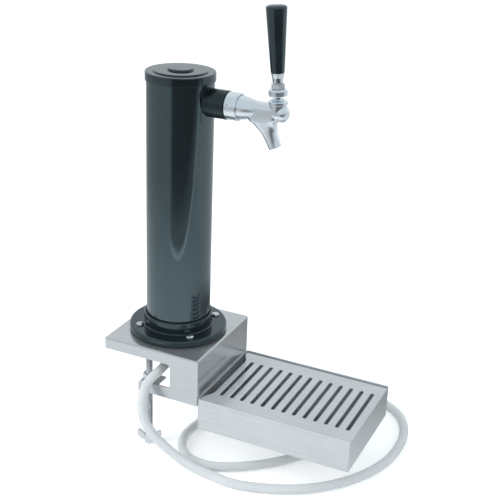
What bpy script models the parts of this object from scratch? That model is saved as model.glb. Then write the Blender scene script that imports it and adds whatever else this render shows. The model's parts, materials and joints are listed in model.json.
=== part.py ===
"""Clamp-on beer tap tower with a single faucet and a drip tray.

Frame: metres, +Z up. The origin is on the column's axis, in the plane of the table top that the
bracket's side lips rest on. +X points forward, the way the faucet and the drip tray face.
"""

import math

import bmesh
import bpy
import numpy as np
from mathutils import Vector

# Fits and facets
GAP = 0.0003
PAST = 0.02
ROUND_SIDES = 32
BODY_SIDES = 24
SMALL_SIDES = 18
TINY_SIDES = 12

# Clamp bracket, bent from one sheet, with tabs that carry the clamp screws
SHEET = 0.002
PLATE_BACK = -0.0615
PLATE_FRONT = 0.0625
BRACKET_WIDTH = 0.135
BEND_RADIUS = 0.0016
LIP_HEIGHT = 0.014
WALL_DROP = 0.045
WEB_BACK = 0.026
ARM_DROP = 0.031
ARM_END = -0.0165
ARM_ROUND = 0.004
TAB_REACH = 0.0225
TAB_LENGTH = 0.0235
HOSE_HOLE_RADIUS = 0.030

# Clamp screws, each with a weld nut, a pressure pad and a wing
SCREW_X = -0.008
SCREW_INSET = 0.0115
STUD_RADIUS = 0.004
STUD_NECK_RADIUS = 0.003
CLAMP_NUT_FLATS = 0.013
CLAMP_NUT_HEIGHT = 0.0065
PAD_RADIUS = 0.008
PAD_TOP = 0.004
PAD_HEIGHT = 0.0063
PAD_SOCKET_DEPTH = 0.0038
PAD_EDGE = 0.001
WING_DROP = 0.121
WING_HUB_HEIGHT = 0.016
WING_HUB_RADIUS = 0.0062
WING_SOCKET_FLOOR = 0.003
WING_SPAN = 0.030
WING_THICKNESS = 0.0036
WING_RISE = 0.0112
WING_ROUND = 0.0026
WING_TURN = math.radians(20)

# Base flange, its gasket and its four screws
FLANGE_EDGE = 0.011
FLANGE_THICKNESS = 0.007
FLANGE_ROUND = 0.0026
LEDGE_WIDTH = 0.0071
LEDGE_HEIGHT = 0.0027
COLLAR_WALL = 0.0029
COLLAR_HEIGHT = 0.0147
COLLAR_ROUND = 0.0012
GASKET_THICKNESS = 0.0012
GASKET_MARGIN = 0.0015
BOLT_INSET = 0.0062
BOLT_RADIUS = 0.0024
BOLT_HEAD_RADIUS = 0.0046
BOLT_HEAD_HEIGHT = 0.0028
FLANGE_NUT_FLATS = 0.008
FLANGE_NUT_HEIGHT = 0.004
BOLT_PAST_NUT = 0.002

# Column and push-on cap
COLUMN_RADIUS = 0.0381
COLUMN_WALL = 0.0016
TOWER_TOP = 0.332
CAP_WALL = 0.0011
CAP_SKIRT = 0.0069
CAP_CROWN = 0.003
CAP_ROUND = 0.0012
CAP_STEP_INSET = 0.0084
CAP_STEP_HEIGHT = 0.0014
CAP_BOSS_RADIUS = 0.0148
CAP_BOSS_HEIGHT = 0.002

# Shank, which carries the faucet through the column's wall
FAUCET_DROP = 0.034
SHANK_RADIUS = 0.011
SHANK_BORE = 0.004
SHANK_TAIL = 0.0345
SHANK_HEAD_LENGTH = 0.0030
SHANK_HEAD_RADIUS = 0.0130
SLEEVE_RADIUS = 0.016
SLEEVE_REACH = 0.0219
SADDLE_RADIUS = 0.0142
SADDLE_THICKNESS = 0.0055
LOCK_NUT_FLATS = 0.027
LOCK_NUT_LENGTH = 0.0057
TAIL_WASHER_THICKNESS = 0.0019
TAIL_NUT_FLATS = 0.028
TAIL_NUT_GRIP = 0.007
TAIL_NUT_LIP = 0.0032
ELBOW_TUBE_RADIUS = 0.0046
ELBOW_BORE = 0.003
ELBOW_FLANGE_RADIUS = 0.0104
ELBOW_FLANGE_THICKNESS = 0.002
ELBOW_STRAIGHT = 0.0055
ELBOW_BEND = 0.008
ELBOW_DROP = 0.010

# Coupling nut and faucet gasket
COUPLING_LENGTH = 0.0139
COUPLING_WALL = 0.002
COUPLING_LIP = 0.0024
COUPLING_EDGE = 0.0008
SPANNER_HOLE_RADIUS = 0.0019
SPANNER_HOLE_DEPTH = 0.0013
SPANNER_HOLE_REACH = 0.0048
SPANNER_HOLE_COUNT = 4
SPANNER_HOLE_TURN = math.radians(-104)
FAUCET_GASKET_THICKNESS = 0.0016

# Faucet body, with distances forward from its rear face
COLLAR_LENGTH = 0.0061
NECK_END = 0.0303
WAIST_RADIUS = 0.0095
NOSE_RADIUS = 0.0095
NOSE_REACH = 0.0060
NOSE_LENGTH = 0.0070
CHAMBER_RADIUS = 0.0082
CHAMBER_LENGTH = 0.0131
SEAT_RADIUS = 0.0048
SEAT_LENGTH = 0.0033
BODY_BORE = 0.0056
BODY_BORE_CLEARANCE = 0.0006
SPOUT_BORE = 0.0046
SPOUT_BORE_LENGTH = 0.042
SPOUT_TILT = math.radians(25)

# The spout's sections: forward, height from the body's axis, tilt in degrees, half length, half width
SPOUT_SECTIONS = [
    (0.0355, -0.0050, 3.0, 0.0185, 0.0079),
    (0.0355, -0.0098, 6.0, 0.0174, 0.0078),
    (0.0367, -0.0122, 9.0, 0.0138, 0.0076),
    (0.0384, -0.0165, 13.8, 0.0107, 0.0075),
    (0.0414, -0.0221, 18.1, 0.0085, 0.0075),
    (0.0457, -0.0316, 18.7, 0.0075, 0.0072),
    (0.0491, -0.0389, 26.6, 0.00715, 0.00715),
]

# Lever, whose ball turns in the socket on the faucet's front, with heights above the body's axis
LEVER_REACH = 0.0498
PIVOT_HEIGHT = 0.0115
LEVER_LEAN = math.radians(-4)
BALL_RADIUS = 0.0055
BALL_FIT = 0.0003
STEM_RADIUS = 0.0030
STEM_LENGTH = 0.041
TAIL_RADIUS = 0.0020
TAIL_LENGTH = 0.0115
TAIL_BALL_RADIUS = 0.0022
SOCKET_WALL = 0.0035
SOCKET_FLOOR_DROP = 0.0041
SOCKET_SHOULDER_DROP = 0.0017
SOCKET_RING_DROP = 0.0005
SOCKET_RING_WALL = 0.0023
SOCKET_ROOT = 0.0021
FLOOR_HOLE_RADIUS = 0.0044
FLOOR_SLOT_BACK = 0.0056
FLOOR_SLOT_HALF = 0.0026
CUP_HEIGHT = 0.0029
BALL_WASHER_THICKNESS = 0.002
BONNET_WALL = 0.0019
BONNET_CROWN = 0.0011
BONNET_CHAMFER = 0.0019
BONNET_CROWN_RADIUS = 0.0076
LEVER_COLLAR_BASE = 0.0069
LEVER_COLLAR_RADIUS = 0.0103
LEVER_COLLAR_LENGTH = 0.0076
JAM_NUT_RADIUS = 0.0068
JAM_NUT_LENGTH = 0.0057
FERRULE_LENGTH = 0.0107
FERRULE_FOOT_RADIUS = 0.0055
HANDLE_LENGTH = 0.0662
HANDLE_FOOT_RADIUS = 0.0074
HANDLE_TOP_RADIUS = 0.0112
HANDLE_DOME = 0.0044
EDGE_ROUND = 0.0008

# Valve shaft inside the faucet, which the lever's tail slides
SHAFT_RADIUS = 0.0020
SHAFT_BLOCK_LENGTH = 0.0149
SHAFT_BLOCK_FRONT = 0.0074
SHAFT_SHOULDER_RADIUS = 0.0034
SHAFT_SHOULDER_LENGTH = 0.0019
SHAFT_GUIDE_START = 0.0234
SHAFT_GUIDE_LENGTH = 0.004
SHAFT_SLOT_FLARE = 0.0030
SHAFT_NUT_FLATS = 0.008
SHAFT_NUT_LENGTH = 0.003
SHAFT_PAST_NUT = 0.0006
SEAT_WASHER_RADIUS = 0.0068
SEAT_WASHER_THICKNESS = 0.0025

# Drip tray and grille
TRAY_LENGTH = 0.1884
TRAY_RIM_DROP = 0.0343
TRAY_DEPTH = 0.0404
TRAY_SHEET = 0.0012
TRAY_CORNER = 0.0024
GRILLE_DROP = 0.0017
GRILLE_CLEARANCE = 0.0006
SLOT_COUNT = 13
SLOT_PITCH = 0.0131
SLOT_WIDTH = 0.0046
SLOT_LENGTH = 0.0886
FIRST_SLOT = 0.0188
RECESS_DEPTH = 0.0082
RECESS_HALF = 0.040
RECESS_RAMP = 0.022

# Beer hose, its clamps and the fitting on its far end
HOSE_RADIUS = 0.00555
GROUND_DROP = 0.122
HOSE_POINT_STEP = 0.0235
BAND_THICKNESS = 0.0012
BAND_LENGTH = 0.008
BAND_BACK = 0.004
BAND_EAR_HEIGHT = 0.004
BAND_EAR_WIDTH = 0.005
KEG_TAIL_RADIUS = 0.0048
KEG_TAIL_LENGTH = 0.0137
KEG_FLANGE_RADIUS = 0.0112
KEG_FLANGE_THICKNESS = 0.0025
KEG_NUT_FLATS = 0.027
KEG_NUT_GRIP = 0.0075
KEG_NUT_LIP = 0.003
KEG_WASHER_THICKNESS = 0.0018
KEG_BORE = 0.0031

# Places that follow from the driving dimensions
HALF_WIDTH = BRACKET_WIDTH / 2
PLATE_TOP = LIP_HEIGHT
PLATE_BOTTOM = LIP_HEIGHT - SHEET
SCREW_Y = HALF_WIDTH - SCREW_INSET
COLUMN_INNER = COLUMN_RADIUS - COLUMN_WALL
COLLAR_RADIUS = COLUMN_RADIUS + GAP + COLLAR_WALL
BOLT_CIRCLE = COLLAR_RADIUS + BOLT_INSET
BOLT_HOLE_RADIUS = BOLT_RADIUS + GAP
FLANGE_RADIUS = BOLT_CIRCLE + FLANGE_EDGE
FLANGE_BORE = COLUMN_RADIUS - LEDGE_WIDTH
GASKET_BOTTOM = PLATE_TOP + GAP
FLANGE_BOTTOM = GASKET_BOTTOM + GASKET_THICKNESS + GAP
FLANGE_TOP = FLANGE_BOTTOM + FLANGE_THICKNESS
LEDGE_TOP = FLANGE_BOTTOM + LEDGE_HEIGHT
CAP_RIM_TOP = TOWER_TOP - CAP_BOSS_HEIGHT - CAP_STEP_HEIGHT
COLUMN_TOP = CAP_RIM_TOP - CAP_CROWN - GAP
FAUCET_AXIS_Z = TOWER_TOP - FAUCET_DROP
SLEEVE_FRONT = COLUMN_RADIUS + SLEEVE_REACH
COUPLING_BACK = SLEEVE_FRONT + GAP
SHANK_HEAD_BACK = COUPLING_BACK + COUPLING_LIP + GAP
SHANK_HEAD_FRONT = SHANK_HEAD_BACK + SHANK_HEAD_LENGTH
COUPLING_CHAMBER = SHANK_HEAD_RADIUS + GAP
COUPLING_RADIUS = COUPLING_CHAMBER + COUPLING_WALL
FAUCET_BACK = SHANK_HEAD_FRONT + FAUCET_GASKET_THICKNESS + 2 * GAP
NOSE_START = LEVER_REACH + NOSE_REACH
BODY_BORE_END = LEVER_REACH + SHAFT_BLOCK_FRONT + BODY_BORE_CLEARANCE
SADDLE_BACK = COLUMN_INNER - SADDLE_THICKNESS
LOCK_NUT_FRONT = SADDLE_BACK - GAP
SHANK_INNER_END = COLUMN_INNER - SHANK_TAIL
TAIL_WASHER_FRONT = SHANK_INNER_END - GAP
ELBOW_FACE = TAIL_WASHER_FRONT - TAIL_WASHER_THICKNESS - GAP
ELBOW_X = ELBOW_FACE - ELBOW_FLANGE_THICKNESS - ELBOW_STRAIGHT - ELBOW_BEND
ELBOW_BOTTOM = FAUCET_AXIS_Z - ELBOW_BEND - ELBOW_DROP
TRAY_BACK = PLATE_FRONT + GAP
TRAY_FRONT = TRAY_BACK + TRAY_LENGTH
TRAY_BOTTOM = -TRAY_RIM_DROP - TRAY_DEPTH
GRILLE_TOP = -TRAY_RIM_DROP - GRILLE_DROP
HOSE_GROUND_Z = HOSE_RADIUS + GAP - GROUND_DROP

# The hose's centreline: down the column, out under the plate, through the near side window, then
# round on the ground in one wide loop and one small one, ending under the tray
HOSE_ROUTE = [
    (ELBOW_X, 0.000, ELBOW_BOTTOM - GAP),
    (ELBOW_X, 0.000, ELBOW_BOTTOM - 0.030),
    (-0.014, 0.003, 0.195),
    (-0.0075, 0.013, 0.110),
    (-0.0015, 0.0215, 0.055),
    (0.001, 0.022, 0.029),
    (0.003, 0.016, 0.008),
    (0.005, 0.000, -0.008),
    (0.007, -0.022, -0.014),
    (0.0075, -0.044, -0.0152),
    (0.0065, -0.059, -0.0176),
    (0.0005, -0.0725, -0.0262),
    (-0.0012, -0.0815, -0.0389),
    (0.0012, -0.0885, -0.0549),
    (0.0089, -0.092, -0.0711),
    (0.0222, -0.093, -0.0849),
    (0.0421, -0.092, -0.0986),
    (0.0645, -0.0902, -0.1098),
    (0.0905, -0.0893, -0.1158),
    (0.120, -0.0922, HOSE_GROUND_Z),
    (0.152, -0.0855, HOSE_GROUND_Z),
    (0.196, -0.065, HOSE_GROUND_Z),
    (0.235, -0.029, HOSE_GROUND_Z),
    (0.262, 0.020, HOSE_GROUND_Z),
    (0.270, 0.062, HOSE_GROUND_Z),
    (0.266, 0.105, HOSE_GROUND_Z),
    (0.247, 0.142, HOSE_GROUND_Z),
    (0.213, 0.162, HOSE_GROUND_Z),
    (0.170, 0.160, HOSE_GROUND_Z),
    (0.124, 0.140, HOSE_GROUND_Z),
    (0.082, 0.104, HOSE_GROUND_Z),
    (0.052, 0.058, HOSE_GROUND_Z),
    (0.032, 0.010, HOSE_GROUND_Z),
    (0.0275, -0.028, HOSE_GROUND_Z),
    (0.0365, -0.054, HOSE_GROUND_Z),
    (0.0575, -0.0715, HOSE_GROUND_Z),
    (0.083, -0.0735, HOSE_GROUND_Z),
    (0.111, -0.061, HOSE_GROUND_Z),
    (0.148, -0.031, HOSE_GROUND_Z),
    (0.186, 0.018, -0.1125),
    (0.204, 0.084, -0.108),
]


def clear_scene():
    for obj in list(bpy.data.objects):
        bpy.data.objects.remove(obj, do_unlink=True)


def make_material(name, colour, roughness, metallic=0.0, alpha=1.0):
    made = bpy.data.materials.new(name)
    made.use_nodes = True
    shader = made.node_tree.nodes["Principled BSDF"]
    shader.inputs["Base Color"].default_value = (*colour, 1.0)
    shader.inputs["Roughness"].default_value = roughness
    shader.inputs["Metallic"].default_value = metallic
    shader.inputs["Alpha"].default_value = alpha
    return made


def add_object(name, data, finish=None, parent=None, location=(0, 0, 0), rotation=(0, 0, 0)):
    obj = bpy.data.objects.new(name, data)
    bpy.context.scene.collection.objects.link(obj)
    obj.parent = parent
    obj.location = location
    obj.rotation_euler = rotation
    if finish is not None:
        data.materials.append(finish)
    return obj


def cut(obj, name, data, parent=None, location=(0, 0, 0), rotation=(0, 0, 0), operation="DIFFERENCE",
        solver="EXACT"):
    """Cuts a helper shape from an object, or joins it to the object."""
    cutter = add_object(name, data, None, parent, location, rotation)
    cutter.hide_render = True
    cutter.display_type = "WIRE"
    modifier = obj.modifiers.new(name, "BOOLEAN")
    modifier.operation = operation
    modifier.solver = solver
    modifier.object = cutter


def finish_mesh(name, bm, smooth_angle=math.radians(35)):
    bmesh.ops.recalc_face_normals(bm, faces=bm.faces)
    data = bpy.data.meshes.new(name)
    bm.to_mesh(data)
    bm.free()
    data.shade_smooth()
    data.set_sharp_from_angle(angle=smooth_angle)
    return data


def lay_along_x(bm):
    """Lays a shape down from local Z to local X, without rounding."""
    for vert in bm.verts:
        vert.co = (vert.co.z, vert.co.y, -vert.co.x)


def turned(name, profile, sides=SMALL_SIDES, axis="Z"):
    """A body turned about an axis from (radius, place) points; off the axis the profile is closed."""
    bm = bmesh.new()
    verts = [bm.verts.new((radius, 0, height)) for radius, height in profile]
    edges = [bm.edges.new(pair) for pair in zip(verts, verts[1:])]
    if profile[0][0] > 0 or profile[-1][0] > 0:
        edges.append(bm.edges.new((verts[-1], verts[0])))
    turn = dict(axis=(0, 0, 1), cent=(0, 0, 0), angle=2 * math.pi, steps=sides, use_merge=True)
    bmesh.ops.spin(bm, geom=verts + edges, **turn)
    bmesh.ops.remove_doubles(bm, verts=bm.verts, dist=1e-6)
    if axis == "X":
        lay_along_x(bm)
    return finish_mesh(name, bm)


def tube(name, inner, outer, low, high, sides=SMALL_SIDES, axis="Z"):
    return turned(name, [(outer, high), (outer, low), (inner, low), (inner, high)], sides, axis)


def rod(name, radius, low, high, sides=SMALL_SIDES, axis="Z"):
    return turned(name, [(0, high), (radius, high), (radius, low), (0, low)], sides, axis)


def loft(name, loops, closed=False, axis="Z"):
    """One body through loops of as many points each; open ends are capped."""
    bm = bmesh.new()
    rings = [[bm.verts.new(point) for point in loop] for loop in loops]
    pairs = list(zip(rings, rings[1:]))
    if closed:
        pairs.append((rings[-1], rings[0]))
    else:
        bm.faces.new(rings[0])
        bm.faces.new(rings[-1])
    for first, second in pairs:
        for i in range(len(first)):
            j = (i + 1) % len(first)
            bm.faces.new((first[i], first[j], second[j], second[i]))
    if axis == "X":
        lay_along_x(bm)
    return finish_mesh(name, bm)


def ring_points(radius, height, flats=False, sides=SMALL_SIDES):
    """A round loop about local Z, or a hexagon with this half width across its flats."""
    angles = np.arange(sides) * 2 * math.pi / sides
    reach = np.full(sides, radius)
    if flats:
        reach = radius / np.cos((angles + math.pi / 6) % (math.pi / 3) - math.pi / 6)
    return [Vector((r * math.cos(a), r * math.sin(a), height)) for r, a in zip(reach, angles)]


def hex_nut(name, flats, low, high, bore, lip_bore=None, lip=0.0, axis="Z", sides=SMALL_SIDES):
    """A hexagon nut; with a lip it is a union nut, narrower for the lip's length from low."""
    rings = [(flats / 2, low, True), (flats / 2, high, True), (bore, high, False)]
    if lip_bore is None:
        rings.append((bore, low, False))
    else:
        rings += [(bore, low + lip, False), (lip_bore, low + lip, False), (lip_bore, low, False)]
    return loft(name, [ring_points(*ring, sides) for ring in rings], closed=True, axis=axis)


def arc(centre_u, centre_v, radius, start, end, steps=2):
    """Points of an arc in a profile's plane, with angles in degrees."""
    angles = np.radians(np.linspace(start, end, steps + 1))
    return [(centre_u + radius * math.cos(a), centre_v + radius * math.sin(a)) for a in angles]


def rounded(corners, radius, steps=4):
    """An outline with arcs at its corners; a corner's third value is a radius of its own."""
    points = []
    for i, corner in enumerate(corners):
        here = Vector(corner[:2])
        size = corner[2] if len(corner) > 2 else radius
        back = (Vector(corners[i - 1][:2]) - here).normalized()
        ahead = (Vector(corners[(i + 1) % len(corners)][:2]) - here).normalized()
        half = back.angle(ahead) / 2
        centre = here + (back + ahead).normalized() * size / math.sin(half)
        start = here + back * size / math.tan(half) - centre
        turn = math.copysign(math.pi - 2 * half, back.cross(ahead) * -1)
        count = steps if size > 0 else 0
        for step in range(count + 1):
            angle = turn * step / max(count, 1)
            cosine, sine = math.cos(angle), math.sin(angle)
            spun = Vector((start.x * cosine - start.y * sine, start.x * sine + start.y * cosine))
            points.append(tuple(centre + spun))
    return points


def rectangle(half_u, half_v):
    return [(-half_u, -half_v), (half_u, -half_v), (half_u, half_v), (-half_u, half_v)]


def prism(name, outline, low, high, plane="XY"):
    """An outline in the named plane, extruded from low to high along the remaining axis."""
    order = {"XY": (0, 1, 2), "XZ": (0, 2, 1), "YZ": (2, 0, 1)}[plane]
    place = [(*point, low) for point in outline]
    bm = bmesh.new()
    base = bm.faces.new([bm.verts.new([point[axis] for axis in order]) for point in place])
    made = bmesh.ops.extrude_face_region(bm, geom=[base])["geom"]
    shift = Vector([(0, 0, high - low)[axis] for axis in order])
    bmesh.ops.translate(bm, vec=shift, verts=[part for part in made if isinstance(part, bmesh.types.BMVert)])
    return finish_mesh(name, bm)


def box(name, low, high):
    outline = [(low[0], low[1]), (high[0], low[1]), (high[0], high[1]), (low[0], high[1])]
    return prism(name, outline, low[2], high[2])


def folded_box(name, low, high, bend):
    """A box whose top sides and front corners are bends; its back and its foot are cut edges."""
    bm = bmesh.new()
    bmesh.ops.create_cube(bm, size=1)
    middle = (Vector(low) + Vector(high)) / 2
    size = Vector(high) - Vector(low)
    bmesh.ops.scale(bm, vec=size, verts=bm.verts)
    bmesh.ops.translate(bm, vec=middle, verts=bm.verts)
    bends = []
    for edge in bm.edges:
        first, second = (vert.co for vert in edge.verts)
        on_top = min(first.z, second.z) > middle.z and max(first.x, second.x) > middle.x
        on_front = min(first.x, second.x) > middle.x and max(first.z, second.z) > middle.z
        if on_top or on_front:
            bends.append(edge)
    bmesh.ops.bevel(bm, geom=bends, offset=bend, segments=3, profile=0.5, affect="EDGES")
    return finish_mesh(name, bm)


def bolt_places():
    """The flange's four screw places, at 45 degrees to the frame."""
    reach = BOLT_CIRCLE / math.sqrt(2)
    return [(reach, -reach), (reach, reach), (-reach, reach), (-reach, -reach)]


def cut_bolt_holes(obj, label, low, high):
    for number, (x, y) in enumerate(bolt_places(), 1):
        name = f"{label}_hole_{number}"
        hole = rod(name, BOLT_HOLE_RADIUS, low - PAST / 4, high + PAST / 4, TINY_SIDES)
        cut(obj, name, hole, location=(x, y, 0))


def make_bracket(steel):
    """Top plate, side lips with webs and lower arms, and front wall, from one bent sheet."""
    low = (PLATE_BACK, -HALF_WIDTH, -WALL_DROP)
    high = (PLATE_FRONT, HALF_WIDTH, PLATE_TOP)
    bracket = add_object("clamp_bracket", folded_box("clamp_bracket", low, high, BEND_RADIUS), steel)
    inner_low = (PLATE_BACK - PAST, SHEET - HALF_WIDTH, -WALL_DROP - PAST)
    inner_high = (PLATE_FRONT - SHEET, HALF_WIDTH - SHEET, PLATE_BOTTOM)
    cut(bracket, "bracket_hollow", box("bracket_hollow", inner_low, inner_high))
    throat = [
        (PLATE_BACK - PAST, 0, 0),
        (WEB_BACK, 0),
        (WEB_BACK, -ARM_DROP),
        (ARM_END, -ARM_DROP),
        (ARM_END, -WALL_DROP - PAST, 0),
        (PLATE_BACK - PAST, -WALL_DROP - PAST, 0),
    ]
    sides = HALF_WIDTH + PAST
    cut(bracket, "bracket_throat", prism("bracket_throat", rounded(throat, ARM_ROUND), -sides, sides, "XZ"))
    tab_top = -ARM_DROP - GAP
    for side, label in ((-1, "front"), (1, "rear")):
        edges = sorted((side * (HALF_WIDTH - SHEET / 2), side * (HALF_WIDTH - TAB_REACH)))
        tab_back = ARM_END + ARM_ROUND / 2
        tab_front = tab_back + TAB_LENGTH
        tab = box(f"screw_tab_{label}", (tab_back, edges[0], tab_top - SHEET), (tab_front, edges[1], tab_top))
        cut(bracket, f"screw_tab_{label}", tab, operation="UNION")
        hole = rod(f"screw_hole_{label}", STUD_RADIUS + GAP, tab_top - SHEET - PAST / 4, tab_top + PAST / 4)
        cut(bracket, f"screw_hole_{label}", hole, location=(SCREW_X, side * SCREW_Y, 0))
    hole = rod("hose_hole", HOSE_HOLE_RADIUS, PLATE_BOTTOM - PAST / 4, PLATE_TOP + PAST / 4, ROUND_SIDES)
    cut(bracket, "hose_hole", hole)
    cut_bolt_holes(bracket, "plate", PLATE_BOTTOM, PLATE_TOP)


def make_clamp(label, side, steel, rubber):
    """Weld nut, stud, pressure pad and wing of one clamp, all on the stud's axis."""
    axis = add_object(f"clamp_axis_{label}", None, location=(SCREW_X, side * SCREW_Y, 0))
    bore = STUD_RADIUS + GAP
    nut_low = -ARM_DROP
    nut = hex_nut(f"clamp_nut_{label}", CLAMP_NUT_FLATS, nut_low, nut_low + CLAMP_NUT_HEIGHT, bore)
    add_object(f"clamp_nut_{label}", nut, steel, axis)
    pad_bottom = PAD_TOP - PAD_HEIGHT
    socket_top = pad_bottom + PAD_SOCKET_DEPTH
    socket = STUD_NECK_RADIUS + GAP
    pad = [(0, PAD_TOP), (PAD_RADIUS - PAD_EDGE, PAD_TOP), (PAD_RADIUS, PAD_TOP - PAD_EDGE)]
    pad += [(PAD_RADIUS, pad_bottom + 2 * PAD_EDGE), (PAD_RADIUS - 2 * PAD_EDGE, pad_bottom)]
    pad += [(socket, pad_bottom), (socket, socket_top), (0, socket_top)]
    add_object(f"clamp_pad_{label}", turned(f"clamp_pad_{label}", pad), rubber, axis)
    stud_bottom = WING_SOCKET_FLOOR - WING_DROP
    neck_bottom = pad_bottom - GAP
    stud = [(0, socket_top - GAP), (STUD_NECK_RADIUS, socket_top - GAP), (STUD_NECK_RADIUS, neck_bottom)]
    stud += [(STUD_RADIUS, neck_bottom), (STUD_RADIUS, stud_bottom), (0, stud_bottom)]
    add_object(f"clamp_screw_{label}", turned(f"clamp_screw_{label}", stud), steel, axis)
    make_wing(label, axis, stud_bottom - GAP, bore, steel)


def make_wing(label, axis, socket_floor, bore, steel):
    """A wing with two ears that rise outwards from a hub with a blind socket for the stud."""
    bottom = -WING_DROP
    top = bottom + WING_HUB_HEIGHT
    neck = bore + (WING_HUB_RADIUS - bore) * 0.55
    hub = [(0, bottom), (WING_HUB_RADIUS - EDGE_ROUND, bottom), (WING_HUB_RADIUS, bottom + EDGE_ROUND)]
    hub += [(WING_HUB_RADIUS, bottom + WING_HUB_HEIGHT * 0.35), (neck, top), (bore, top)]
    hub += [(bore, socket_floor), (0, socket_floor)]
    turn = (0, 0, WING_TURN)
    wing = add_object(f"wing_handle_{label}", turned(f"wing_handle_{label}", hub), steel, axis, rotation=turn)
    reach = WING_SPAN / 2
    root = (bore + WING_HUB_RADIUS) / 2
    tip = bottom + WING_HUB_HEIGHT
    ear = [
        (root, tip - WING_RISE - WING_ROUND, 0),
        (reach * 0.74, tip - WING_RISE),
        (reach, tip - WING_RISE / 2),
        (reach * 0.92, tip + WING_ROUND / 2),
        (reach * 0.66, tip),
        (root, tip - WING_RISE / 2, 0),
    ]
    for mirror, hand in ((1, "right"), (-1, "left")):
        name = f"wing_ear_{label}_{hand}"
        outline = [(mirror * u, v) for u, v in rounded(ear, WING_ROUND / 2, 2)]
        shape = prism(name, outline, -WING_THICKNESS / 2, WING_THICKNESS / 2, "XZ")
        cut(wing, name, shape, axis, rotation=turn, operation="UNION")


def make_flange(black, rubber, steel):
    """Flange with a collar for the column, on a gasket, with four screws and their nuts."""
    gasket = tube("flange_gasket", FLANGE_BORE, FLANGE_RADIUS - GASKET_MARGIN, GASKET_BOTTOM,
                  GASKET_BOTTOM + GASKET_THICKNESS, ROUND_SIDES)
    gasket = add_object("flange_gasket", gasket, rubber)
    cut_bolt_holes(gasket, "gasket", GASKET_BOTTOM, GASKET_BOTTOM + GASKET_THICKNESS)
    collar_top = FLANGE_TOP + COLLAR_HEIGHT
    seat = COLUMN_RADIUS + GAP
    profile = [(FLANGE_BORE, FLANGE_BOTTOM), (FLANGE_RADIUS, FLANGE_BOTTOM)]
    profile += arc(FLANGE_RADIUS - FLANGE_ROUND, FLANGE_TOP - FLANGE_ROUND, FLANGE_ROUND, 0, 90)
    profile += arc(COLLAR_RADIUS + COLLAR_ROUND, FLANGE_TOP + COLLAR_ROUND, COLLAR_ROUND, 270, 180)
    profile += arc(COLLAR_RADIUS - COLLAR_ROUND, collar_top - COLLAR_ROUND, COLLAR_ROUND, 0, 90)
    profile += [(seat, collar_top), (seat, LEDGE_TOP), (FLANGE_BORE, LEDGE_TOP)]
    flange = add_object("base_flange", turned("base_flange", profile, ROUND_SIDES), black)
    cut_bolt_holes(flange, "flange", FLANGE_BOTTOM, FLANGE_TOP)
    nut_top = PLATE_BOTTOM - GAP
    nut_low = nut_top - FLANGE_NUT_HEIGHT
    head_low = FLANGE_TOP + GAP
    head_top = head_low + BOLT_HEAD_HEIGHT
    crown = BOLT_HEAD_HEIGHT / 2
    screw = [(0, head_top), (BOLT_HEAD_RADIUS - crown, head_top)]
    screw += arc(BOLT_HEAD_RADIUS - crown, head_top - crown, crown, 60, 0)
    screw += [(BOLT_HEAD_RADIUS, head_low), (BOLT_RADIUS, head_low)]
    screw += [(BOLT_RADIUS, nut_low - BOLT_PAST_NUT), (0, nut_low - BOLT_PAST_NUT)]
    for number, (x, y) in enumerate(bolt_places(), 1):
        name = f"flange_screw_{number}"
        add_object(name, turned(name, screw, TINY_SIDES), steel, location=(x, y, 0))
        name = f"flange_nut_{number}"
        nut = hex_nut(name, FLANGE_NUT_FLATS, nut_low, nut_top, BOLT_HOLE_RADIUS, sides=TINY_SIDES)
        add_object(name, nut, steel, location=(x, y, 0))


def make_column(black):
    """Column tube with the shank's hole, and the stepped cap pushed over its top."""
    column = tube("column_tube", COLUMN_INNER, COLUMN_RADIUS, LEDGE_TOP + GAP, COLUMN_TOP, ROUND_SIDES)
    column = add_object("column_tube", column, black)
    hole = rod("shank_hole", SHANK_RADIUS + GAP, COLUMN_INNER / 2, COLUMN_RADIUS + PAST, axis="X")
    cut(column, "shank_hole", hole, location=(0, 0, FAUCET_AXIS_Z))
    inner = COLUMN_RADIUS + GAP
    outer = inner + CAP_WALL
    ceiling = COLUMN_TOP + GAP
    step = outer - CAP_STEP_INSET
    step_top = CAP_RIM_TOP + CAP_STEP_HEIGHT
    profile = [(0, TOWER_TOP)]
    profile += arc(CAP_BOSS_RADIUS - CAP_ROUND, TOWER_TOP - CAP_ROUND, CAP_ROUND, 90, 0)
    profile += [(CAP_BOSS_RADIUS, step_top)]
    profile += arc(step - CAP_ROUND, step_top - CAP_ROUND, CAP_ROUND, 90, 0)
    profile += [(step, CAP_RIM_TOP)]
    profile += arc(outer - CAP_ROUND, CAP_RIM_TOP - CAP_ROUND, CAP_ROUND, 90, 0)
    profile += [(outer, ceiling - CAP_SKIRT), (inner, ceiling - CAP_SKIRT), (inner, ceiling), (0, ceiling)]
    add_object("top_cap", turned("top_cap", profile, ROUND_SIDES), black)


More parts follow.
